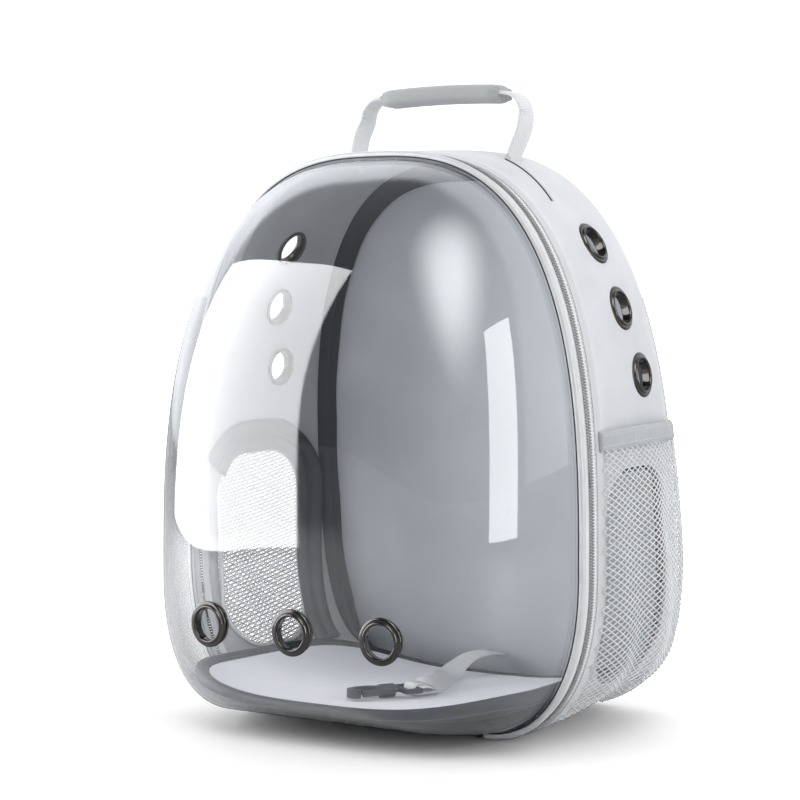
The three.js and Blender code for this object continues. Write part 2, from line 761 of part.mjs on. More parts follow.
function leash() {
  const route = LEASH_ROUTE.map(({ x, y, z }) => vec(x, y, z));
  const loopBack = hookPoint(ringBarX - LEASH.lead, 0, LEASH.loop);
  const curve = new THREE.CatmullRomCurve3([...route, loopBack]);
  const points = curve.getSpacedPoints(LEASH.steps);
  for (const degrees of [90, 60, 30, 0, -30, -60, -90]) {
    const angle = THREE.MathUtils.degToRad(degrees);
    points.push(hookPoint(ringBarX + LEASH.loop * Math.cos(angle), 0, LEASH.loop * Math.sin(angle)));
  }
  points.push(hookPoint(ringBarX - LEASH.tail, 0, -LEASH.loop));
  const ringAcross = hookPoint(0, 1, 0).sub(hookPoint(0, 0, 0));
  const across = (along, k) => {
    if (k >= LEASH.steps) return ringAcross.clone();
    return vec(-along.y, along.x, 0);
  };
  return ribbon(points, across, LEASH.width, LEASH.thick);
}

addPiece("leash_webbing", leash(), LIGHT_CLOTH);

function plate(shape, thick) {
  const geometry = new THREE.ExtrudeGeometry(shape, { depth: thick, bevelEnabled: false, curveSegments: 8 });
  geometry.translate(0, 0, -thick / 2);
  return geometry;
}

function rectangle(path, left, low, right, high) {
  path.moveTo(left, low);
  path.lineTo(right, low);
  path.lineTo(right, high);
  path.lineTo(left, high);
  path.closePath();
  return path;
}

function rod(radius, from, to, sides) {
  const geometry = new THREE.CylinderGeometry(radius, radius, to - from, sides);
  geometry.rotateZ(Math.PI / 2);
  geometry.translate((from + to) / 2, 0, 0);
  return geometry;
}

function hookRing() {
  const shape = rectangle(new THREE.Shape(), -RING.half, -RING.wide, RING.half, RING.wide);
  const inner = { half: RING.half - RING.bar, wide: RING.wide - RING.bar };
  shape.holes.push(rectangle(new THREE.Path(), -inner.half, -inner.wide, inner.half, inner.wide));
  return join(plate(shape, RING.bar), rod(HOOK.stem, RING.stemFrom, RING.stemTo, 8));
}

function hookBody() {
  const nose = THREE.MathUtils.degToRad(EYE.nose);
  const tail = THREE.MathUtils.degToRad(EYE.tail - 360);
  const shape = new THREE.Shape();
  shape.absellipse(EYE.middle, 0, EYE.long, EYE.wide, tail, nose, false, 0);
  shape.absellipse(EYE.middle, 0, EYE.long - EYE.band, EYE.wide - EYE.band, nose, tail, true, 0);
  shape.closePath();
  const barrel = rod(HOOK.barrel, EYE.start, EYE.barrelEnd, 10);
  const body = join(plate(shape, HOOK.thick), barrel);
  const bore = rod(HOOK.bore, RING.half, EYE.start + HOOK.boreDepth, 10);
  return cut(body, [bore]);
}

function hookGate() {
  const nose = THREE.MathUtils.degToRad(EYE.nose);
  const tipX = EYE.middle + EYE.long * Math.cos(nose) - GATE.clear;
  const tipY = EYE.wide * Math.sin(nose) - GATE.drop;
  const shape = new THREE.Shape();
  shape.moveTo(GATE.x, GATE.y);
  shape.lineTo(tipX, tipY - GATE.thick);
  shape.lineTo(tipX, tipY);
  shape.lineTo(GATE.x, GATE.y + GATE.thick);
  shape.closePath();
  const bar = plate(shape, GATE.deep);
  const tall = HOOK.thick / 2 + GATE.knobRise;
  const knob = new THREE.CylinderGeometry(GATE.knob, GATE.knob, tall, 8);
  knob.rotateX(Math.PI / 2);
  knob.translate(GATE.x + GATE.knobX, GATE.y + GATE.knobY, tall / 2);
  return join(bar, knob);
}

addHookPiece("hook_ring", hookRing());
addHookPiece("hook_body", hookBody());
addHookPiece("hook_gate", hookGate());

// The carry handle

const handleY = mix(GUSSET_Y, backY(BAG.height), HANDLE.at);

function handlePath() {
  const foot = archWhere((p) => p.x >= HANDLE.spread);
  const seat = wallPoint(foot, HANDLE.footAt, 0);
  const bend = HANDLE.bend;
  const right = [
    vec(HANDLE.spread, seat.y, seat.z + GAP - HANDLE.sink),
    vec(HANDLE.topSpread, handleY, HANDLE.top - bend),
  ];
  for (const degrees of [30, 60, 90]) {
    const angle = THREE.MathUtils.degToRad(degrees);
    const x = HANDLE.topSpread - bend * (1 - Math.cos(angle));
    right.push(vec(x, handleY, HANDLE.top - bend * (1 - Math.sin(angle))));
  }
  const left = right.map((p) => vec(-p.x, p.y, p.z)).reverse();
  return [...right, ...left];
}

function handleWebbing() {
  return ribbon(handlePath(), () => vec(0, 1, 0), HANDLE.width, HANDLE.thick);
}

function handleGrip() {
  const halfWide = GRIP.wide / 2;
  const halfTall = GRIP.tall / 2;
  const outer = rectangle(new THREE.Shape(), -halfWide, -halfTall, halfWide, halfTall);
  const slotWide = HANDLE.width / 2 + GRIP.slot;
  const slotTall = HANDLE.thick / 2 + GRIP.slot;
  outer.holes.push(rectangle(new THREE.Path(), -slotWide, -slotTall, slotWide, slotTall));
  const geometry = new THREE.ExtrudeGeometry(outer, { depth: GRIP.length, bevelEnabled: false });
  geometry.translate(0, 0, -GRIP.length / 2);
  geometry.applyMatrix4(new THREE.Matrix4().makeBasis(vec(0, 1, 0), vec(0, 0, 1), vec(1, 0, 0)));
  return geometry;
}

addPiece("handle_webbing", handleWebbing(), LIGHT_CLOTH);
const grip = addPiece("handle_grip", handleGrip(), GREY_CLOTH);
grip.position.set(0, handleY, HANDLE.top);

// The wearing straps on the back

const strapPoint = (row, side) => vec(side * row.x, backY(row.z) + BACK.outside + row.off, row.z);

function shoulderStrap(side) {
  const sections = STRAP_SECTIONS.map((row) => {
    const middle = strapPoint(row, side);
    const half = row.width / 2;
    const edge = STRAP.edge;
    const corner = (x, y) => vec(middle.x + x, middle.y + y, middle.z);
    return [
      corner(-half, edge),
      corner(-half + edge, 0),
      corner(half - edge, 0),
      corner(half, edge),
      corner(half, STRAP.thick - edge),
      corner(half - edge, STRAP.thick),
      corner(-half + edge, STRAP.thick),
      corner(-half, STRAP.thick - edge),
    ];
  });
  return loft(sections);
}

function strapWebbing(side) {
  const lift = vec(0, STRAP.webbingThick / 2, 0);
  const points = WEBBING_SECTIONS.map((row) => strapPoint(row, side).add(lift));
  return ribbon(points, () => vec(1, 0, 0), STRAP.webbing, STRAP.webbingThick);
}

function strapSlider() {
  const open = STRAP.webbing / 2 + STRAP_SLIDER.play;
  const half = open + STRAP_SLIDER.bar;
  const tall = STRAP_SLIDER.half;
  const frame = rectangle(new THREE.Shape(), -half, -tall, half, tall);
  const gap = tall - STRAP_SLIDER.bar;
  frame.holes.push(rectangle(new THREE.Path(), -open, -gap, open, gap));
  return plate(frame, STRAP_SLIDER.thick);
}

for (const { name, side } of SIDES) {
  addPiece(`shoulder_strap_${name}`, shoulderStrap(side), LIGHT_CLOTH);
  addPiece(`strap_webbing_${name}`, strapWebbing(side), GREY_CLOTH);
  const slider = addPiece(`strap_slider_${name}`, strapSlider(), ZIP_PLASTIC);
  const row = WEBBING_SECTIONS[1];
  const along = strapPoint(WEBBING_SECTIONS[0], side).sub(strapPoint(WEBBING_SECTIONS[2], side));
  const up = vec(0, along.y, along.z).normalize();
  const away = vec(1, 0, 0).cross(up).negate();
  slider.position.copy(strapPoint(row, side)).addScaledVector(away, STRAP.webbingThick + STRAP_SLIDER.off);
  const turn = new THREE.Matrix4().makeBasis(vec(1, 0, 0), up, away.negate());
  slider.quaternion.setFromRotationMatrix(turn);
}

export default carrier;
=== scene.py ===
"""The looks of a pet carrier backpack: a soft arch-shaped bag with a clear domed front.

Shapes are worked out in millimetres in the part's frame, with the dome towards -Y, and become metres
when a mesh is made.
"""

import math

import bmesh
import bpy
import numpy as np
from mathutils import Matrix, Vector


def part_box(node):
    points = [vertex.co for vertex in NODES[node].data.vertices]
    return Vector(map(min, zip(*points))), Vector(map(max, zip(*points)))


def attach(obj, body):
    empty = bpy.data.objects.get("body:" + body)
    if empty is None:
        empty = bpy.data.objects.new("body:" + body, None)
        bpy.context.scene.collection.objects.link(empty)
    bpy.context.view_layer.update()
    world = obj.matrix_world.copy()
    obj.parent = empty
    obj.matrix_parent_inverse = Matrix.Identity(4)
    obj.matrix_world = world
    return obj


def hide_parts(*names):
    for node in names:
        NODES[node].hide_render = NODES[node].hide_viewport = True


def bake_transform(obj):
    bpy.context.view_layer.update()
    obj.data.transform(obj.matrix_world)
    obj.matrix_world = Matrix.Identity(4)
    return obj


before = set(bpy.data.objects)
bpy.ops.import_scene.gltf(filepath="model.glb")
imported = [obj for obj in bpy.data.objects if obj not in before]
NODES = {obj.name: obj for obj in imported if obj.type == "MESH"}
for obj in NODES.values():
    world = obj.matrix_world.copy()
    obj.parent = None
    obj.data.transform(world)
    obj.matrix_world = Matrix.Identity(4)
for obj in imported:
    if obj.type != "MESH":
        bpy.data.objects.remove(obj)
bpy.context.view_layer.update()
MM = 0.001
SIDES = {"left": -1, "right": 1}
SIDEWAYS = (1.0, 0.0, 0.0)
BACKWARDS = (0.0, 1.0, 0.0)
UPWARDS = (0.0, 0.0, 1.0)

# Driving dimensions of the bag
HALF_WIDTH = 171.5
HEIGHT = 412
BASE_DEPTH = 176
TOP_DEPTH = 128
AHEAD = 3
WALL = 2.4
WIDEST_AT = 122
FLAT_HALF = 91
BASE_HALF = 70
FULLNESS = 2.76
CORNER_FULLNESS = 2.33
TUCK_FROM = 66
TUCK_TO = 152
RIM_Y = -BASE_DEPTH / 2 - AHEAD
GUSSET_Y = RIM_Y + 20.3
DOOR_LIFT = 1.9
DOOR_END_X = 93
BACK_INSIDE = 4
BACK_OUTSIDE = 3
GAP = 0.3

# How the arch swells and turns in towards the back, by share of the depth behind the zip, and how far
# its lower corners are drawn up
GUSSET_AT = [0.0, 0.3, 0.65, 0.88, 1.0]
GUSSET_WIDE = [1.0, 1.0, 0.985, 0.966, 0.925]
GUSSET_TALL = [1.0, 1.01, 1.014, 1.014, 1.002]
GUSSET_TUCK = [0.0, 10.0, 12.0, 12.0, 11.0]

# How far a pocket stands off the wall, by share of its height
POCKET_AT = [0.0, 0.22, 0.55, 0.82, 1.0]
POCKET_OUT = [0.0, 8.0, 12.0, 9.5, 6.5]
POCKET_CLEAR = 0.8
POCKET_LOW = 9
POCKET_HEM_LOW = 203
POCKET_HIGH = 216
POCKET_FROM = 0.02
POCKET_TO = 0.97

# The dome
DOME_BULGE = 102
DOME_FULL_AT = 58
DOME_RIM_POWER = 5
DOME_FACE_POWER = 1.35
DOME_WALL = 1.6
DOME_OUT = -3.9
DOME_SKIRT = 6

# The window in each side
WINDOW_LOW = 36
WINDOW_HIGH = 190
WINDOW_FRONT_SHARE = 0.07
WINDOW_BACK_SHARE = 0.82
WINDOW_CORNER = 36
BINDING_WIDTH = 26
BINDING_FOOT = 28

# The mat on the floor of the cabin
MAT_HALF = 138
MAT_FRONT = 81
MAT_BACK = 71
MAT_TAPER = 0.05
MAT_FRONT_POWER = 3
MAT_BACK_POWER = 5
MAT_BINDING = 9

# The carry handle
HANDLE_SPREAD = 69
HANDLE_TOP_SPREAD = 70
HANDLE_FOOT_AT = 0.5
HANDLE_AT = 0.67
HANDLE_TOP = 458.5
HANDLE_BEND = 16
HANDLE_WIDTH = 19
HANDLE_THICK = 2.4
GRIP_LENGTH = 104
GRIP_WIDE = 27
GRIP_TALL = 14

# Where the leash runs, from the back panel to the hook, and how far it rolls over, in degrees
LEASH_WIDTH = 17
LEASH_THICK = 1.6
LEASH_ROUTE = [
    (2, 76, 30), (0, 62, 33), (-6, 46, 31), (-9, 30, 24.5),
    (-6, 13, 19.4), (2, -4, 18.3), (10, -19, 19.8), (14, -32, 24),
]
LEASH_LOW = 17.6
LEASH_ROLL_AT = [0, 0.3, 0.55, 0.8, 0.93, 1]
LEASH_ROLL = [0, 8, 32, 52, 36, 0]
HOOK_AT = (5, -58, 22.4)
HOOK_TURN = math.radians(-120)
HOOK_BAR_X = -5.4
HOOK_LOOP = 3.4

# The wearing straps: height, distance off the back panel, sideways place, width
STRAP_ROWS = [
    (392, 0.6, 44, 46), (372, 14, 46, 54), (330, 30, 50, 60), (270, 41, 57, 62),
    (210, 43, 65, 60), (160, 36, 74, 54), (128, 28, 80, 40),
]
WEBBING_ROWS = [(127.7, 31, 80), (100, 24, 86), (70, 15, 93), (44, 6, 100), (30, 0.6, 103)]
STRAP_THICK = 9
WEBBING_WIDTH = 25
WEBBING_THICK = 1.8


# Points and faces


def unit(vectors):
    length = np.linalg.norm(vectors, axis=-1, keepdims=True)
    return vectors / np.maximum(length, 1e-9)


def square_to(along, vector):
    """The vector's part that is square to each direction along a line, at unit length."""
    return unit(vector - (vector * along).sum(1, keepdims=True) * along)


def grid(rows, columns):
    return np.meshgrid(rows, columns, indexing="ij")


def full_turn(count):
    return np.arange(count) * 2 * np.pi / count


def squarish(values, power):
    """Sines or cosines that trace a rounded square rather than a circle."""
    return np.sign(values) * np.abs(values) ** power


def arc(radius, degrees):
    """Points of an arc about the origin."""
    angle = np.radians(degrees)
    return radius * np.column_stack([np.cos(angle), np.sin(angle)])


def join(forms):
    """The points and faces of several forms as one form."""
    points = []
    faces = []
    count = 0
    for form_points, form_faces in forms:
        points.append(form_points)
        faces.extend([[k + count for k in face] for face in form_faces])
        count += len(form_points)
    return np.concatenate(points), faces


def shell(outer, inner):
    """Points, faces and face kinds (0 outer, 1 inner, 2 edge) of a wall between two grids of points."""
    rows, columns = outer.shape[:2]
    points = np.concatenate([outer.reshape(-1, 3), inner.reshape(-1, 3)])
    top = np.arange(rows * columns).reshape(rows, columns)
    under = top + rows * columns
    faces = []
    kinds = []

    def add(kind, *corners):
        faces.append([int(c) for c in corners])
        kinds.append(kind)

    for i in range(rows - 1):
        j = i + 1
        for c in range(columns - 1):
            add(0, top[i, c], top[i, c + 1], top[j, c + 1], top[j, c])
            add(1, under[i, c], under[j, c], under[j, c + 1], under[i, c + 1])
        add(2, top[i, 0], top[j, 0], under[j, 0], under[i, 0])
        add(2, top[i, -1], under[i, -1], under[j, -1], top[j, -1])
    for c in range(columns - 1):
        add(2, top[0, c], under[0, c], under[0, c + 1], top[0, c + 1])
        add(2, top[-1, c], top[-1, c + 1], under[-1, c + 1], under[-1, c])
    return points, faces, kinds


def shell_uv(a, b):
    """Cloth coordinates for both faces of a shell."""
    return np.tile(np.stack([a, b], -1).reshape(-1, 2), (2, 1))


def loft(sections, loop=False):
    """Points and faces of a closed form through rings of points, with a face over each end."""
    sections = np.asarray(sections, float)
    rows, columns = sections.shape[:2]
    near = np.arange(rows * columns).reshape(rows, columns)
    far = np.roll(near, -1, axis=0)
    quads = np.stack([near, np.roll(near, -1, axis=1), np.roll(far, -1, axis=1), far], -1)
    if loop:
        faces = quads.reshape(-1, 4).tolist()
    else:
        faces = quads[:-1].reshape(-1, 4).tolist() + [near[0][::-1].tolist(), near[-1].tolist()]
    return sections.reshape(-1, 3), faces


def loft_uv(run, across):
    """Cloth coordinates for a loft: run is along its sections, across is round each of them."""
    return np.column_stack([np.repeat(run, len(across)), np.tile(across, len(run))])


def tube(line, radius, sides, across):
    """A round strand along a line; across is never along it."""
    line = np.asarray(line, float)
    turn = full_turn(sides)[None, :, None]
    along = unit(np.gradient(line, axis=0))
    first = unit(np.cross(along, across))
    second = np.cross(along, first)
    return loft(
        line[:, None] + radius * np.cos(turn) * first[:, None] + radius * np.sin(turn) * second[:, None]
    )


def tubes(lines, radius, sides, across):
    return join([tube(line, radius, sides, across) for line in lines])


def ribbon(line, across, width, thick):
    """Points, faces and cloth coordinates of webbing along a line, with soft edges."""
    along = unit(np.gradient(line, axis=0))
    side = square_to(along, np.asarray(across))
    up = np.cross(side, along)
    half = width / 2
    right = [(half * 0.4, 0.5), (half - 1.2, 0.5), (half - 0.35, 0.38), (half, 0.0)]
    face = [(-a, b) for a, b in right[::-1]] + right
    section = face + [(a, -b) for a, b in face[-2:0:-1]]
    rings = [[p + s * a + u * b * thick for a, b in section] for p, s, u in zip(line, side, up)]
    points, faces = loft(rings)
    return points, faces, loft_uv(length_along(line), [a for a, _ in section])


def length_along(line):
    steps = np.linalg.norm(np.diff(line, axis=0), axis=1)
    return np.concatenate([[0.0], np.cumsum(steps)])


def sample(at, along, rows):
    """Rows of values along a line, taken at the given distances."""
    return np.stack([np.interp(at, along, column) for column in rows.T], -1)


def resample(line, step):
    """The line's points at an even step."""
    along = length_along(line)
    count = max(2, int(round(along[-1] / step)) + 1)
    return sample(np.linspace(0, along[-1], count), along, line)


def smooth_line(points, steps):
    """Points on a smooth curve through the given ones, by centripetal Catmull-Rom."""

    def mix(t, start, end, p, q):
        return (end - t) / (end - start) * p + (t - start) / (end - start) * q

    points = np.asarray(points, float)
    ends = [2 * points[0] - points[1], *points, 2 * points[-1] - points[-2]]
    curve = []
    for p0, p1, p2, p3 in zip(ends, ends[1:], ends[2:], ends[3:]):
        t1 = np.linalg.norm(p1 - p0) ** 0.5
        t2 = t1 + np.linalg.norm(p2 - p1) ** 0.5
        t3 = t2 + np.linalg.norm(p3 - p2) ** 0.5
        for t in np.linspace(t1, t2, steps, endpoint=False):
            a1 = mix(t, 0, t1, p0, p1)
            a2 = mix(t, t1, t2, p1, p2)
            a3 = mix(t, t2, t3, p2, p3)
            b1 = mix(t, 0, t2, a1, a2)
            b2 = mix(t, t1, t3, a2, a3)
            curve.append(mix(t, t1, t2, b1, b2))
    curve.append(points[-1])
    return np.array(curve)


def ripple(a, b, seed, waves=5, low=0.6, high=1.8):
    """A gentle uneven surface between about -1 and 1, the same each time for one seed."""
    rng = np.random.default_rng(seed)
    total = np.zeros(np.broadcast(a, b).shape)
    for _ in range(waves):
        way = rng.uniform(0, 2 * np.pi)
        pace = rng.uniform(low, high)
        shift = rng.uniform(0, 2 * np.pi)
        total = total + np.sin(pace * (np.cos(way) * a + np.sin(way) * b) + shift)
    return total / waves


def runs(keep):
    """The stretches of true values, as pairs of first and last index."""
    padded = np.concatenate([[0], keep.astype(int), [0]])
    turns = np.flatnonzero(np.diff(padded))
    return list(zip(turns[::2], turns[1::2] - 1))


# Pieces


def add_mesh(name, form, materials, kinds=None, uv=None):
    """A new smooth object of points in millimetres, with its faces turned outwards."""
    points, faces = form
    mesh = bpy.data.meshes.new(name)
    mesh.from_pydata((np.asarray(points, float) * MM).tolist(), [], faces)
    for material in materials:
        mesh.materials.append(material)
    if kinds is not None:
        mesh.polygons.foreach_set("material_index", np.asarray(kinds, np.int32))
    if uv is not None:
        index = np.empty(len(mesh.loops), np.int32)
        mesh.loops.foreach_get("vertex_index", index)
        layer = mesh.uv_layers.new(name="cloth")
        flat = (np.asarray(uv, float) * MM)[index].astype(np.float32)
        layer.data.foreach_set("uv", flat.ravel())
    turned = bmesh.new()
    turned.from_mesh(mesh)
    bmesh.ops.recalc_face_normals(turned, faces=turned.faces)
    turned.to_mesh(mesh)
    turned.free()
    smooth_faces(mesh)
    mesh.update()
    piece = bpy.data.objects.new(name, mesh)
    bpy.context.scene.collection.objects.link(piece)
    return piece


def smooth_faces(mesh):
    mesh.polygons.foreach_set("use_smooth", np.ones(len(mesh.polygons), bool))


def crisp(piece, degrees=38):
    """Edges sharper than an angle stay sharp under smooth shading."""
    smooth_faces(piece.data)
    piece.data.set_sharp_from_angle(angle=math.radians(degrees))
    return piece


def cut_out(piece, shapes, degrees=38):
    """The piece with closed shapes taken out of it."""
    cutters = []
    for shape in shapes:
        cutter = add_mesh("cutter", shape, [])
        modifier = piece.modifiers.new("cut", "BOOLEAN")
        modifier.operation = "DIFFERENCE"
        modifier.solver = "EXACT"
        modifier.object = cutter
        cutters.append(cutter)
    depsgraph = bpy.context.evaluated_depsgraph_get()
    mesh = bpy.data.meshes.new_from_object(piece.evaluated_get(depsgraph))
    piece.modifiers.clear()
    piece.data = mesh
    for cutter in cutters:
        bpy.data.objects.remove(cutter)
    return crisp(piece, degrees)


def settle(piece, body, slot, *nodes):
    """The piece rides on a body and stands for the nodes it replaces; the slot is not used."""
    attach(piece, body)
    if nodes:
        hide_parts(*nodes)
    return piece


def add_piece(name, form, material, body, slot, *nodes, uv=None):
    """A settled piece of one material."""
    return settle(add_mesh(name, form, [material], uv=uv), body, slot, *nodes)


STITCH_PITCH = 3.2
STITCH_LONG = 2.3
STITCH_LIFT = 0.3
STITCH_AT = np.array([0.0, 0.25, 0.75, 1.0])
STITCH_ARCH = np.array([-1.0, 0.8, 0.8, -1.0])[:, None]


def add_stitches(name, rows, material, body, slot, across, thread=0.32):
    """All the stitches of one seam as one piece of short arched threads; rows holds lines with normals."""
    threads = []
    for line, normals in rows:
        normals = np.broadcast_to(normals, line.shape)
        along = length_along(line)
        for start in np.arange(STITCH_PITCH / 2, along[-1] - STITCH_PITCH, STITCH_PITCH):
            at = start + STITCH_LONG * STITCH_AT
            up = unit(sample(at, along, normals))
            threads.append(sample(at, along, line) + up * STITCH_LIFT * STITCH_ARCH)
    add_piece(name, tubes(threads, thread, 5, across), material, body, slot)


# The arch and the surfaces that follow it


def arch_line():
    """Right half of the arch from the middle of its top to the middle of its bottom."""
    angle = np.linspace(0, np.pi / 2, 900)
    cos = np.clip(np.cos(angle), 0, 1)
    sin = np.sin(angle)
    power = 2 / FULLNESS
    corner = 2 / CORNER_FULLNESS
    flat_x = np.linspace(FLAT_HALF, 0, 200)[1:]
    corner_x = FLAT_HALF + (HALF_WIDTH - FLAT_HALF) * cos**corner
    corner_z = WIDEST_AT * (1 - sin**corner)
    x = np.concatenate([HALF_WIDTH * sin**power, corner_x[1:], flat_x])
    top_z = WIDEST_AT + (HEIGHT - WIDEST_AT) * cos**power
    z = np.concatenate([top_z, corner_z[1:], np.zeros(len(flat_x))])
    along = np.concatenate([[0.0], np.cumsum(np.hypot(np.diff(x), np.diff(z)))])
    return x, z, along


ARC_X, ARC_Z, ARC_ALONG = arch_line()
ARC_TOTAL = ARC_ALONG[-1]
ARC_T = ARC_ALONG / ARC_TOTAL
ARC_DX = np.gradient(ARC_X, ARC_T)
ARC_DZ = np.gradient(ARC_Z, ARC_T)
ROUND = ARC_Z > 0.01


def arch(t, wide=1.0, tall=1.0):
    """A point of the arch and the way out from it: t is 0 at the top and 1 or -1 at the bottom."""
    side = np.where(np.asarray(t) < 0, -1.0, 1.0)
    share = np.abs(t)
    x = np.interp(share, ARC_T, ARC_X) * wide
    z = np.interp(share, ARC_T, ARC_Z) * tall
    out_x = -np.interp(share, ARC_T, ARC_DZ) * tall
    out_z = np.interp(share, ARC_T, ARC_DX) * wide
    size = np.hypot(out_x, out_z)
    return side * x, z, side * out_x / size, out_z / size


def height_t(z):
    """The t of the right side at a height."""
    return np.interp(z, ARC_Z[ROUND][::-1], ARC_T[ROUND][::-1])


def lower_t(x):
    """The t of the right side at a distance from the middle, on its lower half."""
    low = ARC_Z < WIDEST_AT
    return float(np.interp(x, ARC_X[low][::-1], ARC_T[low][::-1]))


FLAT_T = lower_t(BASE_HALF)
DOOR_T = lower_t(DOOR_END_X)


def soft_table(v, values, blur=0.05):
    """A column of the gusset's table at v, with its corners rounded."""
    steps = blur * np.linspace(-1, 1, 5)
    return sum(np.interp(v + step, GUSSET_AT, values) for step in steps) / len(steps)


def back_y(z):
    return RIM_Y + BASE_DEPTH + (TOP_DEPTH - BASE_DEPTH) * z / HEIGHT


def gusset_y(z, v):
    """How far back the gusset is at a height and a share of its depth."""
    return GUSSET_Y + (back_y(z) - GUSSET_Y) * v


def wall(t, v, out=0.0):
    """Points on the gusset: v is 0 at the zip and 1 at the back, out is off its outer face."""
    t, v, out = np.broadcast_arrays(np.asarray(t, float), np.asarray(v, float), np.asarray(out, float))
    x, z, out_x, out_z = arch(t, soft_table(v, GUSSET_WIDE), soft_table(v, GUSSET_TALL))
    corner = np.clip((np.abs(x) - TUCK_FROM) / (TUCK_TO - TUCK_FROM), 0, 1)
    z = z + np.where(z < WIDEST_AT, np.sin(np.pi * corner), 0) * np.interp(v, GUSSET_AT, GUSSET_TUCK)
    return np.stack([x + out_x * out, gusset_y(z, v), z + out_z * out], -1)


def wall_at(side, y, z, out):
    """Points on one side of the gusset at a depth and a height."""
    v = (y - GUSSET_Y) / (back_y(z) - GUSSET_Y)
    return wall(side * height_t(z / soft_table(v, GUSSET_TALL)), v, out)


def rim_normal(t):
    _, _, out_x, out_z = arch(t)
    return np.stack([out_x, 0 * out_x, out_z], -1)


def rim(t, back, out):
    """Points near the dome's rim: back is behind the rim's plane."""
    x, z, out_x, out_z = arch(t)
    low = np.maximum(0, 1 - z / WIDEST_AT)
    lift = DOOR_LIFT * low * low
    return np.stack(np.broadcast_arrays(x + out_x * out, RIM_Y + back, z + out_z * out + lift), -1)


def dome_point(t, angle, inset):
    """Points of the dome: angle is 0 at the rim and a quarter turn at the middle of its face."""
    share = np.clip(np.cos(angle), 0, 1) ** (2 / DOME_RIM_POWER)
    rise = np.sin(angle) ** (2 / DOME_FACE_POWER)
    edge = rim(t, 0, DOME_OUT - inset)
    x = edge[..., 0] * share
    y = RIM_Y - (DOME_BULGE - inset) * rise
    z = DOME_FULL_AT + (edge[..., 2] - DOME_FULL_AT) * share
    return np.stack(np.broadcast_arrays(x, y, z), -1)


def pocket_off(t, v):
    """How far the pocket's net stands off the gusset."""
    share = (arch(t)[1] - POCKET_LOW) / (POCKET_HIGH - POCKET_LOW)
    across = (v - POCKET_FROM) / (POCKET_TO - POCKET_FROM)
    swell = np.clip(np.sin(np.pi * np.clip(across, 0, 1)), 0, 1) ** 0.7
    return POCKET_CLEAR + np.interp(share, POCKET_AT, POCKET_OUT) * swell


# Materials


def fill(tree, node, inputs):
    """Inputs of a node, by name or number, take a value or the output of another node."""
    for name, value in inputs.items():
        if isinstance(value, bpy.types.NodeSocket):
            tree.links.new(value, node.inputs[name])
        else:
            node.inputs[name].default_value = value


def add_node(tree, kind, inputs=None, **settings):
    """The outputs of a new node with its inputs filled."""
    node = tree.nodes.new(kind)
    for name, value in settings.items():
        setattr(node, name, value)
    fill(tree, node, inputs or {})
    return node.outputs


def maths(tree, operation, *values):
    inputs = dict(enumerate(values))
    return add_node(tree, "ShaderNodeMath", inputs, operation=operation)["Value"]


def eased(tree, value, places, results):
    """The value eased from one result to another between two places."""
    inputs = {"Value": value, "From Min": places[0], "From Max": places[1]}
    inputs.update({"To Min": results[0], "To Max": results[1]})
    return add_node(tree, "ShaderNodeMapRange", inputs, interpolation_type="SMOOTHSTEP")["Result"]


def new_material(name, roughness, colour, vary, patches, metallic=0.0):
    """A material whose colour is a little lighter and darker in soft patches."""
    material = bpy.data.materials.new(name)
    material.use_nodes = True
    tree = material.node_tree
    shader = tree.nodes["Principled BSDF"]
    places = add_node(tree, "ShaderNodeTexCoord")
    spots = {"Vector": places["Object"], "Scale": patches, "Detail": 4.0}
    noise = add_node(tree, "ShaderNodeTexNoise", spots)
    ramp = tree.nodes.new("ShaderNodeValToRGB")
    darker, lighter = ramp.color_ramp.elements
    darker.position = 0.3
    lighter.position = 0.7
    darker.color = [c * (1 - vary) for c in colour] + [1]
    lighter.color = [min(1, c * (1 + vary)) for c in colour] + [1]
    fill(tree, ramp, {"Fac": noise["Fac"]})
    look = {"Base Color": ramp.outputs["Color"], "Roughness": roughness, "Metallic": metallic}
    fill(tree, shader, look)
    return material, tree, shader, places


def add_bump(tree, shader, height, strength, distance):
    inputs = {"Height": height, "Strength": strength, "Distance": distance}
    fill(tree, shader, {"Normal": add_node(tree, "ShaderNodeBump", inputs)["Normal"]})


def cloth(name, colour, thread=0.0007, strength=0.25, roughness=0.8, sheen=0.15, vary=0.05, gloss=0.3):
    """Woven cloth: threads crossing at a given pitch in metres, and soft patches of tone."""
    material, tree, shader, places = new_material(name, roughness, colour, vary, 28.0)
    fill(tree, shader, {"Sheen Weight": sheen, "Sheen Roughness": 0.4, "Specular IOR Level": gloss})
    weave = {"Vector": places["UV"], "Scale": 0.314 / thread, "Distortion": 0.6, "Detail": 1.0}
    ways = [add_node(tree, "ShaderNodeTexWave", weave, bands_direction=way)["Fac"] for way in "XY"]
    add_bump(tree, shader, maths(tree, "ADD", *ways), strength, thread * 0.3)
    return material


def plush(name, colour):
    """Short soft pile."""
    material, tree, shader, places = new_material(name, 0.95, colour, 0.03, 40.0)
    fill(tree, shader, {"Sheen Weight": 0.5, "Sheen Roughness": 0.5})
    pile = {"Vector": places["Object"], "Scale": 900.0, "Detail": 3.0}
    add_bump(tree, shader, add_node(tree, "ShaderNodeTexNoise", pile)["Fac"], 0.35, 0.0004)
    return material


def moulded(name, colour, roughness, grain=1400.0, strength=0.06, metallic=0.0):
    """Plastic or plated metal with a fine grain that breaks up its gloss."""
    material, tree, shader, places = new_material(name, roughness, colour, 0.06, 90.0, metallic)
    speckle = {"Vector": places["Object"], "Scale": grain, "Detail": 2.0}
    add_bump(tree, shader, add_node(tree, "ShaderNodeTexNoise", speckle)["Fac"], strength, 0.0002)
    return material


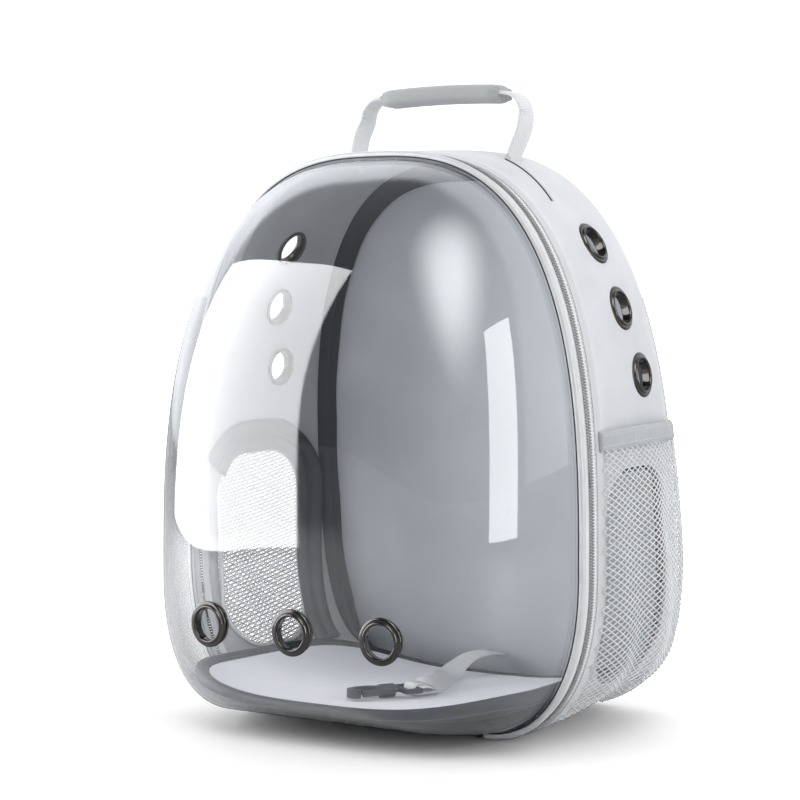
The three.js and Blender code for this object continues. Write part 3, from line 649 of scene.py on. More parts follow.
def nylon(name, colour):
    """Fine pale thread that light soaks through."""
    material = moulded(name, colour, 0.6)
    tree = material.node_tree
    soak = {"Subsurface Weight": 1.0, "Subsurface Radius": (1.0, 1.0, 1.0), "Subsurface Scale": 0.002}
    fill(tree, tree.nodes["Principled BSDF"], soak)
    return material


def clear_plastic(name, colour, steepness=2.8, edge_on=0.9, face_on=0.03):
    """A thin clear shell: what it doesn't mirror passes straight through, more so face on."""
    material, tree, shader, _ = new_material(name, 0.02, colour, 0.02, 6.0, metallic=1.0)
    facing = add_node(tree, "ShaderNodeLayerWeight", {"Blend": 0.5})["Facing"]
    steep = maths(tree, "POWER", facing, steepness)
    fill(tree, shader, {"Alpha": maths(tree, "MULTIPLY_ADD", steep, edge_on, face_on)})
    return material


LIGHT_CLOTH = cloth("light_cloth", (0.655, 0.661, 0.68), 0.0006, 0.18)
LINING = cloth("lining", (0.42, 0.428, 0.45), 0.0005, 0.12, 0.6)
GREY_CLOTH = cloth("grey_cloth", (0.36, 0.365, 0.38), 0.0008, 0.3)
PANEL_CLOTH = cloth("panel_cloth", (0.55, 0.582, 0.62), 0.0006, 0.08, 0.4, 0.1, 0.03)
DARK_CLOTH = cloth("dark_cloth", (0.03, 0.033, 0.041), 0.0007, 0.2, 0.5, 0.0, gloss=0.25)
BASE_CLOTH = cloth("base_cloth", (0.035, 0.037, 0.043), 0.0009, 0.35, 0.8, 0.0)
WEBBING = cloth("webbing", (0.8, 0.805, 0.815), 0.0016, 0.6)
GREY_WEBBING = cloth("grey_webbing", (0.40, 0.405, 0.42), 0.0016, 0.6)
GRIP_CLOTH = cloth("grip_cloth", (0.39, 0.402, 0.405), 0.0006, 0.2)
HEM_CLOTH = cloth("hem_cloth", (0.47, 0.485, 0.49), 0.0012, 0.4)
ZIP_TAPE = cloth("zip_tape", (0.78, 0.785, 0.795), 0.0008, 0.35)
NET_THREAD = nylon("net_thread", (0.86, 0.87, 0.88))
MESH_THREAD = moulded("mesh_thread", (0.33, 0.335, 0.35), 0.65)
THREAD = moulded("thread", (0.66, 0.665, 0.68), 0.7)
DARK_THREAD = moulded("dark_thread", (0.09, 0.095, 0.105), 0.7)
MAT_PLUSH = plush("mat_plush", (0.84, 0.845, 0.915))
PIPING = moulded("piping", (0.64, 0.65, 0.665), 0.32)
SEAM_SHADE = cloth("seam_shade", (0.03, 0.031, 0.035), 0.0008, 0.3)
ZIP_TEETH = moulded("zip_teeth", (0.3, 0.298, 0.294), 0.35)
GUNMETAL = moulded("gunmetal", (0.056, 0.053, 0.051), 0.13, 2200.0, 0.03, 1.0)
HOOK_METAL = moulded("hook_metal", (0.055, 0.057, 0.068), 0.5, 1800.0, 0.08)
BUCKLE = moulded("buckle", (0.06, 0.061, 0.066), 0.45)
CLEAR = clear_plastic("clear_shell", (0.93, 0.94, 0.96))


# The gusset, lined inside, with its eyelet holes and windows


def axis_of(node):
    """The middle of a round node's outer face, the way out along its axis, and its height."""
    corners = np.array([v.co for v in NODES[node].data.vertices]) / MM
    middle = corners.mean(0)
    axis = np.linalg.svd(corners - middle)[2][2]
    cabin = np.array([0.0, RIM_Y, HEIGHT / 2])
    if axis @ (middle - cabin) < 0:
        axis = -axis
    reach = (corners - middle) @ axis
    return middle + axis * reach.max(), axis, reach.max() - reach.min()


EYELETS = {name: axis_of(name) for name in sorted(NODES) if name.startswith("eyelet_")}
EYELET_LIP = 2.6
EYELET_HOLE = 13.0
HOLE_ENDS = (12, -18)
WINDOW_CUT_X = (100, 240)


def ring_around(centre, axis, radius, count):
    first = unit(np.cross(axis, UPWARDS))
    second = np.cross(axis, first)
    angle = full_turn(count)[:, None]
    return centre + radius * (np.cos(angle) * first + np.sin(angle) * second)


def hole_cutter(name):
    """A short round bar through the wall at an eyelet."""
    lip, axis, _ = EYELETS[name]
    return loft([ring_around(lip + axis * off, axis, EYELET_HOLE, 40) for off in HOLE_ENDS])


def window_outline(grow, count=10):
    """A rounded window in depth and height, in order round it."""
    r = WINDOW_CORNER + grow
    low = WINDOW_LOW - grow + r
    high = WINDOW_HIGH + grow - r
    front = gusset_y(WINDOW_LOW, WINDOW_FRONT_SHARE) - grow + r
    back = gusset_y(WINDOW_HIGH, WINDOW_BACK_SHARE) + grow - r
    corners = [(back, low, -90), (back, high, 0), (front, high, 90), (front, low, 180)]
    arcs = [(y, z) + arc(r, np.linspace(start, start + 90, count)) for y, z, start in corners]
    return np.concatenate(arcs)


def window_cutter(side):
    """A bar of the window's outline through the side of the bag."""
    outline = window_outline(0)
    return loft([np.column_stack([np.full(len(outline), side * x), outline]) for x in WINDOW_CUT_X])


# How the cloth puffs out, rolls over behind the zip and, inside, wrinkles under the top
FOLD_LENGTH = 60
FOLDS_DEEP = 2.2
PUFF = 0.5
ROLL = 1.5
ROLL_AT = 0.045
ROLL_SPREAD = 0.028
ROLL_COLUMNS = [0, 0.012, 0.024, 0.036, 0.05, 0.065, 0.085]
WRINKLE = 1.2
WRINKLE_TO = 0.4
TAUT_FROM = 0.42
TAUT_OVER = 0.2
FOOT_RISE = 14
CLOTH_DEPTH = 130


def gusset():
    rows = np.linspace(-FLAT_T, FLAT_T, 261)
    t, v = grid(rows, np.concatenate([ROLL_COLUMNS, np.linspace(0.11, 1, 26)]))
    around = t * ARC_TOTAL / FOLD_LENGTH
    depth = v * FOLDS_DEEP
    mid = np.sin(np.pi * v) ** 0.7
    low = np.clip((np.abs(t) - TAUT_FROM) / TAUT_OVER, 0, 1)
    puff = mid * (PUFF + PUFF * ripple(around, depth, 3)) * (1 - 0.8 * low)
    roll = ROLL * np.exp(-(((v - ROLL_AT) / ROLL_SPREAD) ** 2))
    standing = np.clip(arch(t)[1] / FOOT_RISE, 0, 1)
    outer = wall(t, v, (puff + roll) * standing)
    crown = np.clip(1 - np.abs(t) / WRINKLE_TO, 0, 1)
    wrinkle = crown * mid * (WRINKLE + WRINKLE * ripple(around * 4, depth * 5, 8, 6, 0.8, 2.0))
    lining = PUFF * mid * (1 + ripple(around * 2, depth * 2, 5)) * (1 - low)
    points, faces, kinds = shell(outer, wall(t, v, -WALL - lining - wrinkle))
    lined = [int(kind == 1) for kind in kinds]
    uv = shell_uv(t * ARC_TOTAL, v * CLOTH_DEPTH)
    piece = add_mesh("gusset_cloth", (points, faces), [LIGHT_CLOTH, LINING], lined, uv)
    holes = [hole_cutter(name) for name in EYELETS if "front" not in name]
    cut_out(piece, holes + [window_cutter(side) for side in SIDES.values()])
    settle(piece, "bag", "light_cloth", "gusset")


SEAM_END = 0.8
SEAM_FRONT = 0.95
SEAM_DEPTH = 0.033
SEAM_ROLL = 4.0
SEAM_LEAN = 12.5
SEAM_WIDTH = 18


def seam_tape_and_shade():
    """Dark tape folded over the seam inside the rear corner, in two rolls that lap the back panel; its
    near-black is partly painted shade for that corner.
    """
    t, u = grid(np.linspace(-SEAM_END, SEAM_END, 221), np.linspace(0, 1, 19))
    v = SEAM_FRONT + SEAM_DEPTH * u
    rolls = np.abs(np.sin(2 * np.pi * u)) ** 0.8 * (1 + 0.3 * ripple(t * 40, u, 4))
    flush = np.clip((SEAM_END - np.abs(t)) / 0.1, 0, 1)
    inner = wall(t, v, -WALL - 1.4 - (SEAM_ROLL * rolls + SEAM_LEAN * u**1.2) * flush)
    outer = wall(t, v, -WALL - 0.6)
    uv = shell_uv(t * ARC_TOTAL, u * SEAM_WIDTH)
    # Partly painted shade: the near-black tape also stands in for the shadow in the rear inner corner.
    add_piece("seam_tape_and_shade", shell(inner, outer)[:2], DARK_CLOTH, "bag", "dark_cloth", uv=uv)


def handle_foot_t():
    top = ARC_Z > HEIGHT / 2
    return float(np.interp(HANDLE_SPREAD, ARC_X[top], ARC_T[top]))


SLIT_LONG = 0.086
SLIT_AHEAD = 0.078
SLIT_SLANT = 0.13


def handle_slits():
    """The open seam that each foot of the handle goes into: a thin near-black tube of painted shade for the
    gap, under a lip of cloth.
    """
    share = np.linspace(0, 1, 30)
    t = handle_foot_t() - 0.001 + SLIT_LONG * share
    v = HANDLE_FOOT_AT - SLIT_AHEAD - SLIT_SLANT * share
    slit_shade = tubes([wall(side * t, v, 0.75) for side in SIDES.values()], 0.5, 8, BACKWARDS)
    lips = tubes([wall(side * t, v + 0.013, 0.6) for side in SIDES.values()], 1.15, 10, BACKWARDS)
    # Painted shade: the shadow in each slit is a near-black tube.
    add_piece("handle_slit", slit_shade, SEAM_SHADE, "bag", "dark_cloth")
    add_piece("handle_slit_lip", lips, LIGHT_CLOTH, "bag", "light_cloth")


# The base and the back


# The base's edge and, above it, the lip that laps the gusset: how far out and how high
BASE_EDGE = [(-1.6, 0.0), (-0.3, 0.3), (0.0, 1.4), (0.0, 3.2)]
BASE_LIP = [(0.0, 3.6), (0.0, 6.4), (-0.5, 7.3), (-1.6, 7.6)]
BASE_LAP = 3.0


def base_panel():
    """A flat stiff base with a rounded edge, wrapped in dark cloth, wider ahead of the gusset."""
    low, high = (np.array(corner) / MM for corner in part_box("base_panel"))
    ahead = np.linspace(low[1], GUSSET_Y - 0.5, 5)
    behind = np.linspace(GUSSET_Y + 0.5, high[1], 16)
    sections = []
    for y in np.concatenate([ahead, behind]):
        share = np.clip((y - GUSSET_Y) / (high[1] - GUSSET_Y), 0, 1)
        half = FLAT_HALF - GAP
        wide = half
        if y > GUSSET_Y:
            half = float(BASE_HALF * soft_table(share, GUSSET_WIDE)) - GAP
            wide = half + BASE_LAP
        right = [(half + x, z) for x, z in BASE_EDGE] + [(wide + x, z) for x, z in BASE_LIP]
        left = [(-x, z) for x, z in right[::-1]]
        sections.append([(x, y, z) for x, z in right + left])
    points, faces = loft(sections)
    piece = add_mesh("base_cloth", (points, faces), [BASE_CLOTH], uv=points[:, :2])
    settle(crisp(piece), "bag", "dark_cloth", "base_panel")


BACK_FOOT = 6.5
BACK_MIDDLE = np.array([0.0, HEIGHT * 0.46])
BACK_SHARES = np.array([1, 0.985, 0.965, 0.94, 0.9, 0.85, 0.78, 0.68, 0.55, 0.4, 0.2])
BACK_CROWN_OVER = 0.22
BACK_SEAM = 0.95


def back_ring(share, count, rise):
    """A ring of the back panel at a share of its outline, stood off its plane."""
    edge = wall(np.linspace(-1, 1, count, endpoint=False), 1.0, 0.5 - WALL)
    outline = np.column_stack([edge[:, 0], np.maximum(edge[:, 2], BACK_FOOT)])
    flat = BACK_MIDDLE + (outline - BACK_MIDDLE) * share
    return np.column_stack([flat[:, 0], back_y(flat[:, 1]) + rise, flat[:, 1]])


def back_panel(count=160):
    """A crowned panel: its cabin face is a smooth capsule and its rear face is padded."""
    crown = np.sin(np.clip((1 - BACK_SHARES) / BACK_CROWN_OVER, 0, 1) * np.pi / 2)

    def face(near, far):
        rises = near + (far - near) * crown
        return [back_ring(share, count, rise) for share, rise in zip(BACK_SHARES, rises)]

    points, faces = loft(face(0.6, -BACK_INSIDE)[::-1] + face(1.4, BACK_OUTSIDE))
    cabin_side = (len(BACK_SHARES) - 1) * count + count // 2
    kinds = [int(k >= cabin_side) for k in range(len(faces) - 2)] + [0, 1]
    piece = add_mesh("back_cloth", (points, faces), [PANEL_CLOTH, GREY_CLOTH], kinds, points[:, [0, 2]])
    settle(piece, "bag", "grey_cloth", "back_panel")
    seam = back_ring(BACK_SEAM, 400, 2.4)
    add_stitches("back_stitches", [(seam, (0.0, 1.0, 0.1))], THREAD, "bag", "grey_cloth", BACKWARDS)


# Windows and pockets


def inside_outline(outline, y, z):
    """Which points lie in a convex outline."""
    keep = np.ones(np.shape(y), bool)
    for (y0, z0), (y1, z1) in zip(outline, np.roll(outline, -1, axis=0)):
        keep &= (y1 - y0) * (z - z0) - (z1 - z0) * (y - y0) >= -1e-6
    return keep


RIB_TILT = 0.15
RIB_PITCH = 2.85
RIB_SAG = 1.2
RIB = 0.36
MESH_PITCH = 2.4
MESH_STRAND = 0.14


def window_mesh(name, side):
    """A fine open mesh of ribs across the window and thinner threads down it."""
    outline = window_outline(0.8)
    front, low = outline.min(0)
    back, high = outline.max(0)
    ribs = []
    for z in np.arange(low - 10, high + 10, RIB_PITCH):
        y = np.arange(front, back, 1.0)
        rise = z + RIB_TILT * (y - (front + back) / 2)
        for first, last in runs(inside_outline(outline, y, rise)):
            if last - first < 2:
                continue
            at = np.linspace(y[first], y[last], 22)
            sag = RIB_SAG * np.sin(np.pi * (at - front) / (back - front))
            ribs.append(wall_at(side, at, np.interp(at, y, rise) - sag, -0.9))
    threads = []
    for y in np.arange(front + 1.5, back, MESH_PITCH):
        z = np.arange(low, high, 1.0)
        for first, last in runs(inside_outline(outline, np.full(len(z), y), z)):
            at = np.linspace(z[first], z[last], 24)
            threads.append(wall_at(side, np.full(24, y), at, -1.1))
    form = join([tubes(ribs, RIB, 5, SIDEWAYS), tubes(threads, MESH_STRAND, 4, SIDEWAYS)])
    add_piece(f"window_threads_{name}", form, MESH_THREAD, "bag", "mesh_cloth", f"window_mesh_{name}")


BINDING_STEP = 3.0
BINDING_ROLL = 5.4


def binding_path():
    """Up the rear edge of the window and over its top, in depth and height."""
    grow = BINDING_WIDTH / 2 - 3
    r = WINDOW_CORNER + grow
    middle = WINDOW_HIGH - WINDOW_CORNER
    back = gusset_y(WINDOW_HIGH, WINDOW_BACK_SHARE) + grow
    front = gusset_y(WINDOW_LOW, WINDOW_FRONT_SHARE) - grow
    rear_bend = (back - r, middle) + arc(r, range(10, 91, 10))
    front_bend = (front + r, middle) + arc(r, range(100, 151, 10))
    return np.concatenate([[(back, BINDING_FOOT), (back, middle)], rear_bend, front_bend])


def window_binding(name, side):
    """Dark tape folded over the rear edge of the window, creased along its middle."""
    path = resample(binding_path(), BINDING_STEP)
    along = unit(np.gradient(path, axis=0))
    outwards = np.column_stack([along[:, 1], -along[:, 0]])
    k, u = grid(np.arange(len(path)), np.linspace(-0.5, 0.5, 15))
    y, z = np.moveaxis(path[k] + outwards[k] * (u * BINDING_WIDTH)[..., None], -1, 0)
    crease = np.abs(np.sin(2 * np.pi * (u + 0.5))) ** 0.8
    rolls = 0.6 + BINDING_ROLL * crease * (0.8 + 0.4 * (u + 0.5))
    rolls = rolls * (1 + 0.35 * ripple(k * 0.28, u * 5, 12))
    base = -WALL - GAP
    form = shell(wall_at(side, y, z, base - rolls), wall_at(side, y, z, base))[:2]
    uv = shell_uv(k * BINDING_STEP, u * BINDING_WIDTH)
    node = f"window_binding_{name}"
    add_piece(f"window_tape_{name}", form, DARK_CLOTH, "bag", "dark_cloth", node, uv=uv)


def window_edge(name, side):
    """The pale cord sewn along the front and lower edges of the window, inside the bag."""
    outline = window_outline(1.0)
    path = np.vstack([outline[27:], outline[:4]])
    cord = wall_at(side, path[:, 0], path[:, 1], -WALL - 1.2)
    add_piece(f"window_edge_{name}", tube(cord, 1.7, 10, SIDEWAYS), LIGHT_CLOTH, "bag", "light_cloth")


NET_CELL = 7.2
NET_SLOPE = 1.6
NET_STRAND = 0.5
NET_STEP = 3.4
NET_WIDTH = 128


def net_fold(u, w):
    """Loose folds that hang down the net from its gathered hem."""
    return 2.3 * np.sin(u / 9 + 1.3 * np.sin(w / 34)) * np.clip(w / 60, 0.2, 1)


def pocket_net(name, side):
    """A coarse net of crossing strands, bulging from the gusset."""
    top = float(height_t(POCKET_HEM_LOW + 3))
    drop = (float(height_t(POCKET_LOW)) - top) * ARC_TOTAL
    reach = NET_SLOPE * drop
    strands = []
    for way, lift, start, end in ((1, 0.25, -reach, NET_WIDTH), (-1, -0.25, 0, NET_WIDTH + reach)):
        for foot in np.arange(start, end, NET_CELL):
            w = np.arange(0, drop + 0.1, NET_STEP)
            u = foot + way * NET_SLOPE * w
            keep = (u >= 0) & (u <= NET_WIDTH)
            if keep.sum() < 2:
                continue
            u, w = u[keep], w[keep]
            t = top + w / ARC_TOTAL
            v = POCKET_FROM + (POCKET_TO - POCKET_FROM) * u / NET_WIDTH
            swell = np.clip(np.sin(np.pi * u / NET_WIDTH), 0, 1)
            strands.append(wall(side * t, v, pocket_off(t, v) + 0.7 + lift + net_fold(u, w) * swell))
    form = tubes(strands, NET_STRAND, 4, SIDEWAYS)
    add_piece(f"pocket_strands_{name}", form, NET_THREAD, "bag", "mesh_cloth", f"pocket_net_{name}")


def pocket_hem(name, side):
    """The gathered elastic hem, with two rows of stitches."""
    rows = np.linspace(float(height_t(POCKET_HIGH + 1)), float(height_t(POCKET_HEM_LOW)), 9)
    t, v = grid(rows, np.linspace(POCKET_FROM, POCKET_TO, 60))
    swell = np.sin(np.pi * (v - POCKET_FROM) / (POCKET_TO - POCKET_FROM))
    pucker = 0.35 * swell * np.sin(v * 150)
    off = pocket_off(t, v) + pucker
    edge = np.sin(np.pi * np.linspace(0, 1, 9))[:, None] ** 0.3
    outer = wall(side * t, v, off + 0.8 + 1.5 * edge)
    inner = wall(side * t, v, off + 0.4 - 0.3 * edge)
    uv = shell_uv((t - rows[0]) * ARC_TOTAL, v * NET_WIDTH)
    form = shell(outer, inner)[:2]
    add_piece(f"pocket_band_{name}", form, HEM_CLOTH, "bag", "grey_cloth", f"pocket_hem_{name}", uv=uv)
    lines = [(outer[row], (side * 1.0, 0.0, 0.1)) for row in (2, 6)]
    add_stitches(f"hem_stitches_{name}", lines, THREAD, "bag", "grey_cloth", SIDEWAYS, 0.28)


# The zip, the dome and its piping

ZIP_TAPE_THICK = 1.0
ZIP_TAPE_OUT = -0.5
ZIP_PITCH = 2.1
TOOTH = 0.78
TOOTH_BEND = 0.4
TOOTH_RISE = 0.3


def zip_tape(name, front, back, body, node, dip=0.0):
    """A strip of tape that follows the dome's rim, with a slight crown, lower in front by its dip."""
    t, u = grid(np.linspace(-DOOR_T, DOOR_T, 281), np.linspace(0, 1, 7))
    depth = front + (back - front) * u
    crown = 0.35 * np.sin(np.pi * u)
    outer = rim(t, depth, ZIP_TAPE_OUT + crown - dip * (1 - u))
    inner = rim(t, depth, ZIP_TAPE_OUT - ZIP_TAPE_THICK - dip * (1 - u))
    uv = shell_uv(t * ARC_TOTAL, depth)
    add_piece(name, shell(outer, inner)[:2], ZIP_TAPE, body, "zip_tape", node, uv=uv)


def zip_row(name, front, back, shift, body, node):
    """One row of coil teeth along the zip, each a short round bar."""
    reach = DOOR_T * ARC_TOTAL
    bar = [(front, -TOOTH_RISE), (front + TOOTH_BEND, TOOTH_RISE)]
    bar += [(back - TOOTH_BEND, TOOTH_RISE), (back, -TOOTH_RISE)]
    teeth = []
    for at in np.arange(-reach + ZIP_PITCH, reach - ZIP_PITCH, ZIP_PITCH):
        t = (at + shift * ZIP_PITCH) / ARC_TOTAL
        line = np.array([rim(t, depth, 0.1 + lift) for depth, lift in bar])
        x, _, z = line[1]
        on_side = abs(x) > 80 and z < 300
        teeth.append(tube(line, TOOTH, 6, UPWARDS if on_side else SIDEWAYS))
    add_piece(name, join(teeth), ZIP_TEETH, body, "zip_teeth", node)


def zip_stitches(name, back, out, body):
    rows = np.linspace(-DOOR_T + 0.01, DOOR_T - 0.01, 600)
    seam = [(rim(rows, back, out), rim_normal(rows))]
    add_stitches(name, seam, THREAD, body, "zip_tape", BACKWARDS, 0.26)


def zip_pieces():
    zip_tape("zip_cloth_door", 2.7, 9.4, "door", "zip_tape_door", dip=1.6)
    zip_tape("zip_cloth_bag", 13.3, 20.2, "bag", "zip_tape_bag")
    zip_row("zip_coil_door", 9.1, 11.3, 0.0, "door", "zip_teeth_door")
    zip_row("zip_coil_bag", 11.4, 13.6, 0.5, "bag", "zip_teeth_bag")
    zip_stitches("door_stitches", 4.9, -1.2, "door")
    zip_stitches("bag_stitches", 18.4, -0.15, "bag")


# The slider's half sizes, and its sections as a share of them with how far each stands out
SLIDER_HALF = (6.5, 4.4)
SLIDER_SECTIONS = [(0.94, 0.9), (1.0, 1.3), (1.0, 2.4), (0.9, 3.0)]
PULL_HALF = (10.5, 3.2)
PULL_AT = -14.5
PULL_SECTIONS = [(0.92, 3.3), (1.0, 3.6), (1.0, 4.3), (0.92, 4.6)]


def zip_slider():
    """The slider's body and its pull, at the low left end of the zip."""
    low, high = (np.array(corner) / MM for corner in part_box("zip_slider"))
    t = -float(height_t((low[2] + high[2]) / 2))
    out = rim_normal(t)
    along = np.array([-out[2], 0.0, out[0]])
    middle = rim(t, 0, 0)
    middle[1] = (low[1] + high[1]) / 2

    def form(half, sections, power, at=0.0):
        turn = full_turn(24)
        a = half[0] * squarish(np.cos(turn), power)[:, None]
        y = half[1] * squarish(np.sin(turn), power)[:, None]
        rings = [middle + along * (at + a * s) + np.array(BACKWARDS) * y * s + out * o for s, o in sections]
        return loft(rings)

    body = form(SLIDER_HALF, SLIDER_SECTIONS, 0.7)
    pull = form(PULL_HALF, PULL_SECTIONS, 1.0, PULL_AT)
    piece = add_mesh("zip_pull", join([body, pull]), [GUNMETAL])
    settle(crisp(piece), "bag", "gunmetal", "zip_slider")


def dome():
    """The clear moulded shell, with a skirt behind its rim and three eyelet holes."""
    bottom = np.linspace(DOOR_T, 2 - DOOR_T, 26)[1:-1]
    rows = np.concatenate([np.linspace(-DOOR_T, DOOR_T, 240), np.where(bottom > 1, bottom - 2, bottom)])
    angles = np.radians([*np.linspace(0, 80, 41), 82, 84, 86, 87.4, 88.5, 89.3, 89.8])

    def side(inset):
        skirt = rim(rows, DOME_SKIRT, DOME_OUT - inset)
        return [skirt] + [dome_point(rows, angle, inset) for angle in angles]

    piece = add_mesh("clear_dome", loft(side(0)[::-1] + side(DOME_WALL)), [CLEAR])
    cut_out(piece, [hole_cutter(name) for name in EYELETS if "front" in name], 50)
    settle(piece, "door", "clear_shell", "dome")


def piping():
    """Round satin piping that covers the dome's edge, with thin near-black tubes of painted shade for the
    grooves on either side.
    """
    rows = np.linspace(-DOOR_T, DOOR_T, 321)
    cord = tube(rim(rows, 0, -1.0), 2.6, 14, BACKWARDS)
    add_piece("piping_cord", cord, PIPING, "door", "piping", "dome_piping")
    # Painted shade: the shadow in the grooves is drawn as near-black tubes.
    grooves = tubes([rim(rows, -2.2, -2.8), rim(rows, 2.5, -2.0)], 0.55, 6, BACKWARDS)
    add_piece("piping_groove_shade", grooves, SEAM_SHADE, "door", "dark_cloth")


HINGE_ROUTE = [(0, -83.4, 2.6), (0, -85, 2.4), (0, -88.2, 3.6), (0, -91.6, 4.8)]
HINGE_THICK = 1.1


def hinge_strip():
    """The sewn strip of cloth along the bottom that the dome swings on."""
    path = smooth_line(HINGE_ROUTE, 6)
    x, k = grid(np.linspace(-DOOR_END_X, DOOR_END_X, 61), np.arange(len(path)))
    y = path[k, 1]
    middle = np.stack([x, y, path[k, 2]], -1)
    up = np.array(UPWARDS) * HINGE_THICK / 2
    form = shell(middle + up, middle - up)[:2]
    piece = add_mesh("hinge_strip", form, [BASE_CLOTH], uv=shell_uv(x, y))
    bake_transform(piece)


# Eyelets: the ring's profile outside the wall and the washer's inside it, as radius and height

EYELET_PROFILE = [
    (11.7, -0.6), (11.3, 0.5), (11.2, 1.4), (11.4, 2.1), (11.9, 2.6), (12.5, 2.75),
    (13.1, 2.45), (13.5, 1.9), (13.75, 1.4), (14.3, 1.4), (15.2, 1.3), (15.9, 0.95),
    (16.3, 0.4), (16.2, -0.4), (15.0, -0.7), (12.9, -0.6),
]
WASHER_PROFILE = [
    (12.9, 0.35), (14.4, 0.3), (14.9, -0.1), (14.6, -0.6), (13.4, -1.0), (12.4, -0.9), (12.0, -0.3),
]


def eyelet(name):
    """A rolled metal ring outside the wall, its barrel, and a washer inside."""
    lip, axis, tall = EYELETS[name]
    face = lip - axis * EYELET_LIP
    inner = EYELET_LIP - tall + 1.0
    profile = EYELET_PROFILE + [(r, inner + z) for r, z in WASHER_PROFILE]
    rings = [ring_around(face + axis * z, axis, r, 48) for r, z in profile]
    piece = add_mesh(f"{name}_ring", loft(rings, loop=True), [GUNMETAL])
    body = "door" if "front" in name else "bag"
    settle(crisp(piece, 60), body, "gunmetal", name)


# The mat

MAT_SHARES = np.array([1, 0.985, 0.96, 0.92, 0.86, 0.78, 0.68, 0.56, 0.42, 0.27, 0.1])
MAT_CROWN = 0.6
MAT_WRAP = [(9, 0.4), (7, 1.0), (4, 1.1), (1.6, 0.6), (0.4, -0.8)]
MAT_SEAM = 7.4


def mat_point(angle, inset, share=1.0):
    """A place on the mat: round it by angle, in from its edge by inset, towards it by share."""
    cos, sin = np.cos(angle), np.sin(angle)
    front = sin < 0
    power = 2 / np.where(front, MAT_FRONT_POWER, MAT_BACK_POWER)
    reach = np.where(front, MAT_FRONT, MAT_BACK - RIM_Y) - inset
    y = share * squarish(sin, power) * reach
    taper = 1 - MAT_TAPER * np.maximum(0, y / (MAT_BACK - RIM_Y))
    x = share * squarish(cos, power) * (MAT_HALF - inset) * taper
    side = np.abs(x) / (MAT_HALF * taper)
    ahead = np.maximum(0, -y) / MAT_FRONT
    return x, RIM_Y + y, side, ahead


def mat_top(side, ahead):
    """The height of the mat's upper face, which turns up at the sides and the front."""
    return 17 + 24 * side**3 + 11 * ahead**2


def mat_under(side, ahead):
    """The height of its lower face."""
    return 8 + 23.5 * side**3.5 + 13.6 * ahead**1.5


def floor_mat():
    """A soft pad, crowned a little between its edges."""
    angles = full_turn(144)
    top = []
    under = []
    for share, rise in zip(MAT_SHARES, MAT_CROWN * np.clip((1 - MAT_SHARES) / 0.2, 0, 1)):
        x, y, side, ahead = mat_point(angles, MAT_BINDING - 1.5, share)
        soft = 0.35 * ripple(x / 28, y / 28, 6) * min(1, rise)
        top.append(np.column_stack([x, y, mat_top(side, ahead) + rise - MAT_CROWN + soft]))
        under.append(np.column_stack([x, y, mat_under(side, ahead) + 0.2]))
    points, faces = loft(top[::-1] + under)
    topside = len(MAT_SHARES) * len(angles)
    kinds = [int(k >= topside) for k in range(len(faces) - 2)] + [0, 1]
    piece = add_mesh("mat_pad", (points, faces), [MAT_PLUSH, DARK_CLOTH], kinds, points[:, :2])
    settle(piece, "bag", "mat_cloth", "floor_mat")


def mat_binding():
    """Dark tape wrapped over the mat's edge, with a row of stitches."""
    angles = full_turn(240)
    top = []
    under = []
    for inset, lift in MAT_WRAP:
        x, y, side, ahead = mat_point(angles, inset)
        top.append((x, y, mat_top(side, ahead) + lift - 0.3))
        under.append((x, y, mat_under(side, ahead) - min(lift, 0) * 0.5 + 0.3))
    x, y, side, ahead = mat_point(angles, 0.0)
    edge = (x, y, (mat_top(side, ahead) + mat_under(side, ahead)) / 2)
    sections = np.transpose(top + [edge] + under[::-1], (2, 0, 1))
    uv = loft_uv(angles * 140, np.arange(sections.shape[1]) * 2.0)
    form = loft(sections, loop=True)
    add_piece("mat_tape", form, DARK_CLOTH, "bag", "dark_cloth", "mat_binding", uv=uv)
    x, y, side, ahead = mat_point(np.linspace(0, 2 * np.pi, 500), MAT_SEAM)
    seam = np.column_stack([x, y, mat_top(side, ahead) + 0.6])
    add_stitches("mat_stitches", [(seam, UPWARDS)], DARK_THREAD, "bag", "dark_cloth", UPWARDS, 0.28)


# The leash and its hook

LEASH_SEAM = 7
LEASH_TAIL = 16
HOOK_NODES = ("hook_ring", "hook_body", "hook_gate")


def hook_place(x, y, z):
    """A point in the hook's own directions, in the part's frame."""
    cos, sin = math.cos(HOOK_TURN), math.sin(HOOK_TURN)
    return np.array([HOOK_AT[0] + cos * x - sin * y, HOOK_AT[1] + sin * x + cos * y, HOOK_AT[2] + z])


def leash():
    """Flat webbing sewn into the seam at the back, lying on the mat, and sewn round the hook's ring."""
    end = hook_place(HOOK_BAR_X - LEASH_SEAM, 0, HOOK_LOOP)
    line = resample(smooth_line(LEASH_ROUTE + [tuple(end)], 8), 4.0)
    roll = np.radians(np.interp(np.linspace(0, 1, len(line)), LEASH_ROLL_AT, LEASH_ROLL))[:, None]
    line[:, 2] = np.maximum(line[:, 2], LEASH_LOW + LEASH_WIDTH / 2 * np.sin(roll[:, 0]))
    along = unit(np.gradient(line, axis=0))
    level = unit(np.column_stack([-along[:, 1], along[:, 0], np.zeros(len(line))]))
    across = level * np.cos(roll) + np.cross(level, along) * np.sin(roll)
    *form, uv = ribbon(line, across, LEASH_WIDTH, LEASH_THICK)
    piece = add_piece("leash", form, WEBBING, "bag", "leash_web", "leash_webbing", uv=uv)
    bend = [hook_place(HOOK_BAR_X + x, 0, z) for x, z in arc(HOOK_LOOP, np.linspace(90, -90, 13))]
    loop = np.array([end, *bend, hook_place(HOOK_BAR_X - LEASH_TAIL, 0, -HOOK_LOOP + 0.6)])
    sideways = hook_place(0, 1, 0) - hook_place(0, 0, 0)
    *form, uv = ribbon(loop, sideways, LEASH_WIDTH, LEASH_THICK)
    fold = add_piece("leash_loop", form, WEBBING, "bag", "leash_web", uv=uv)


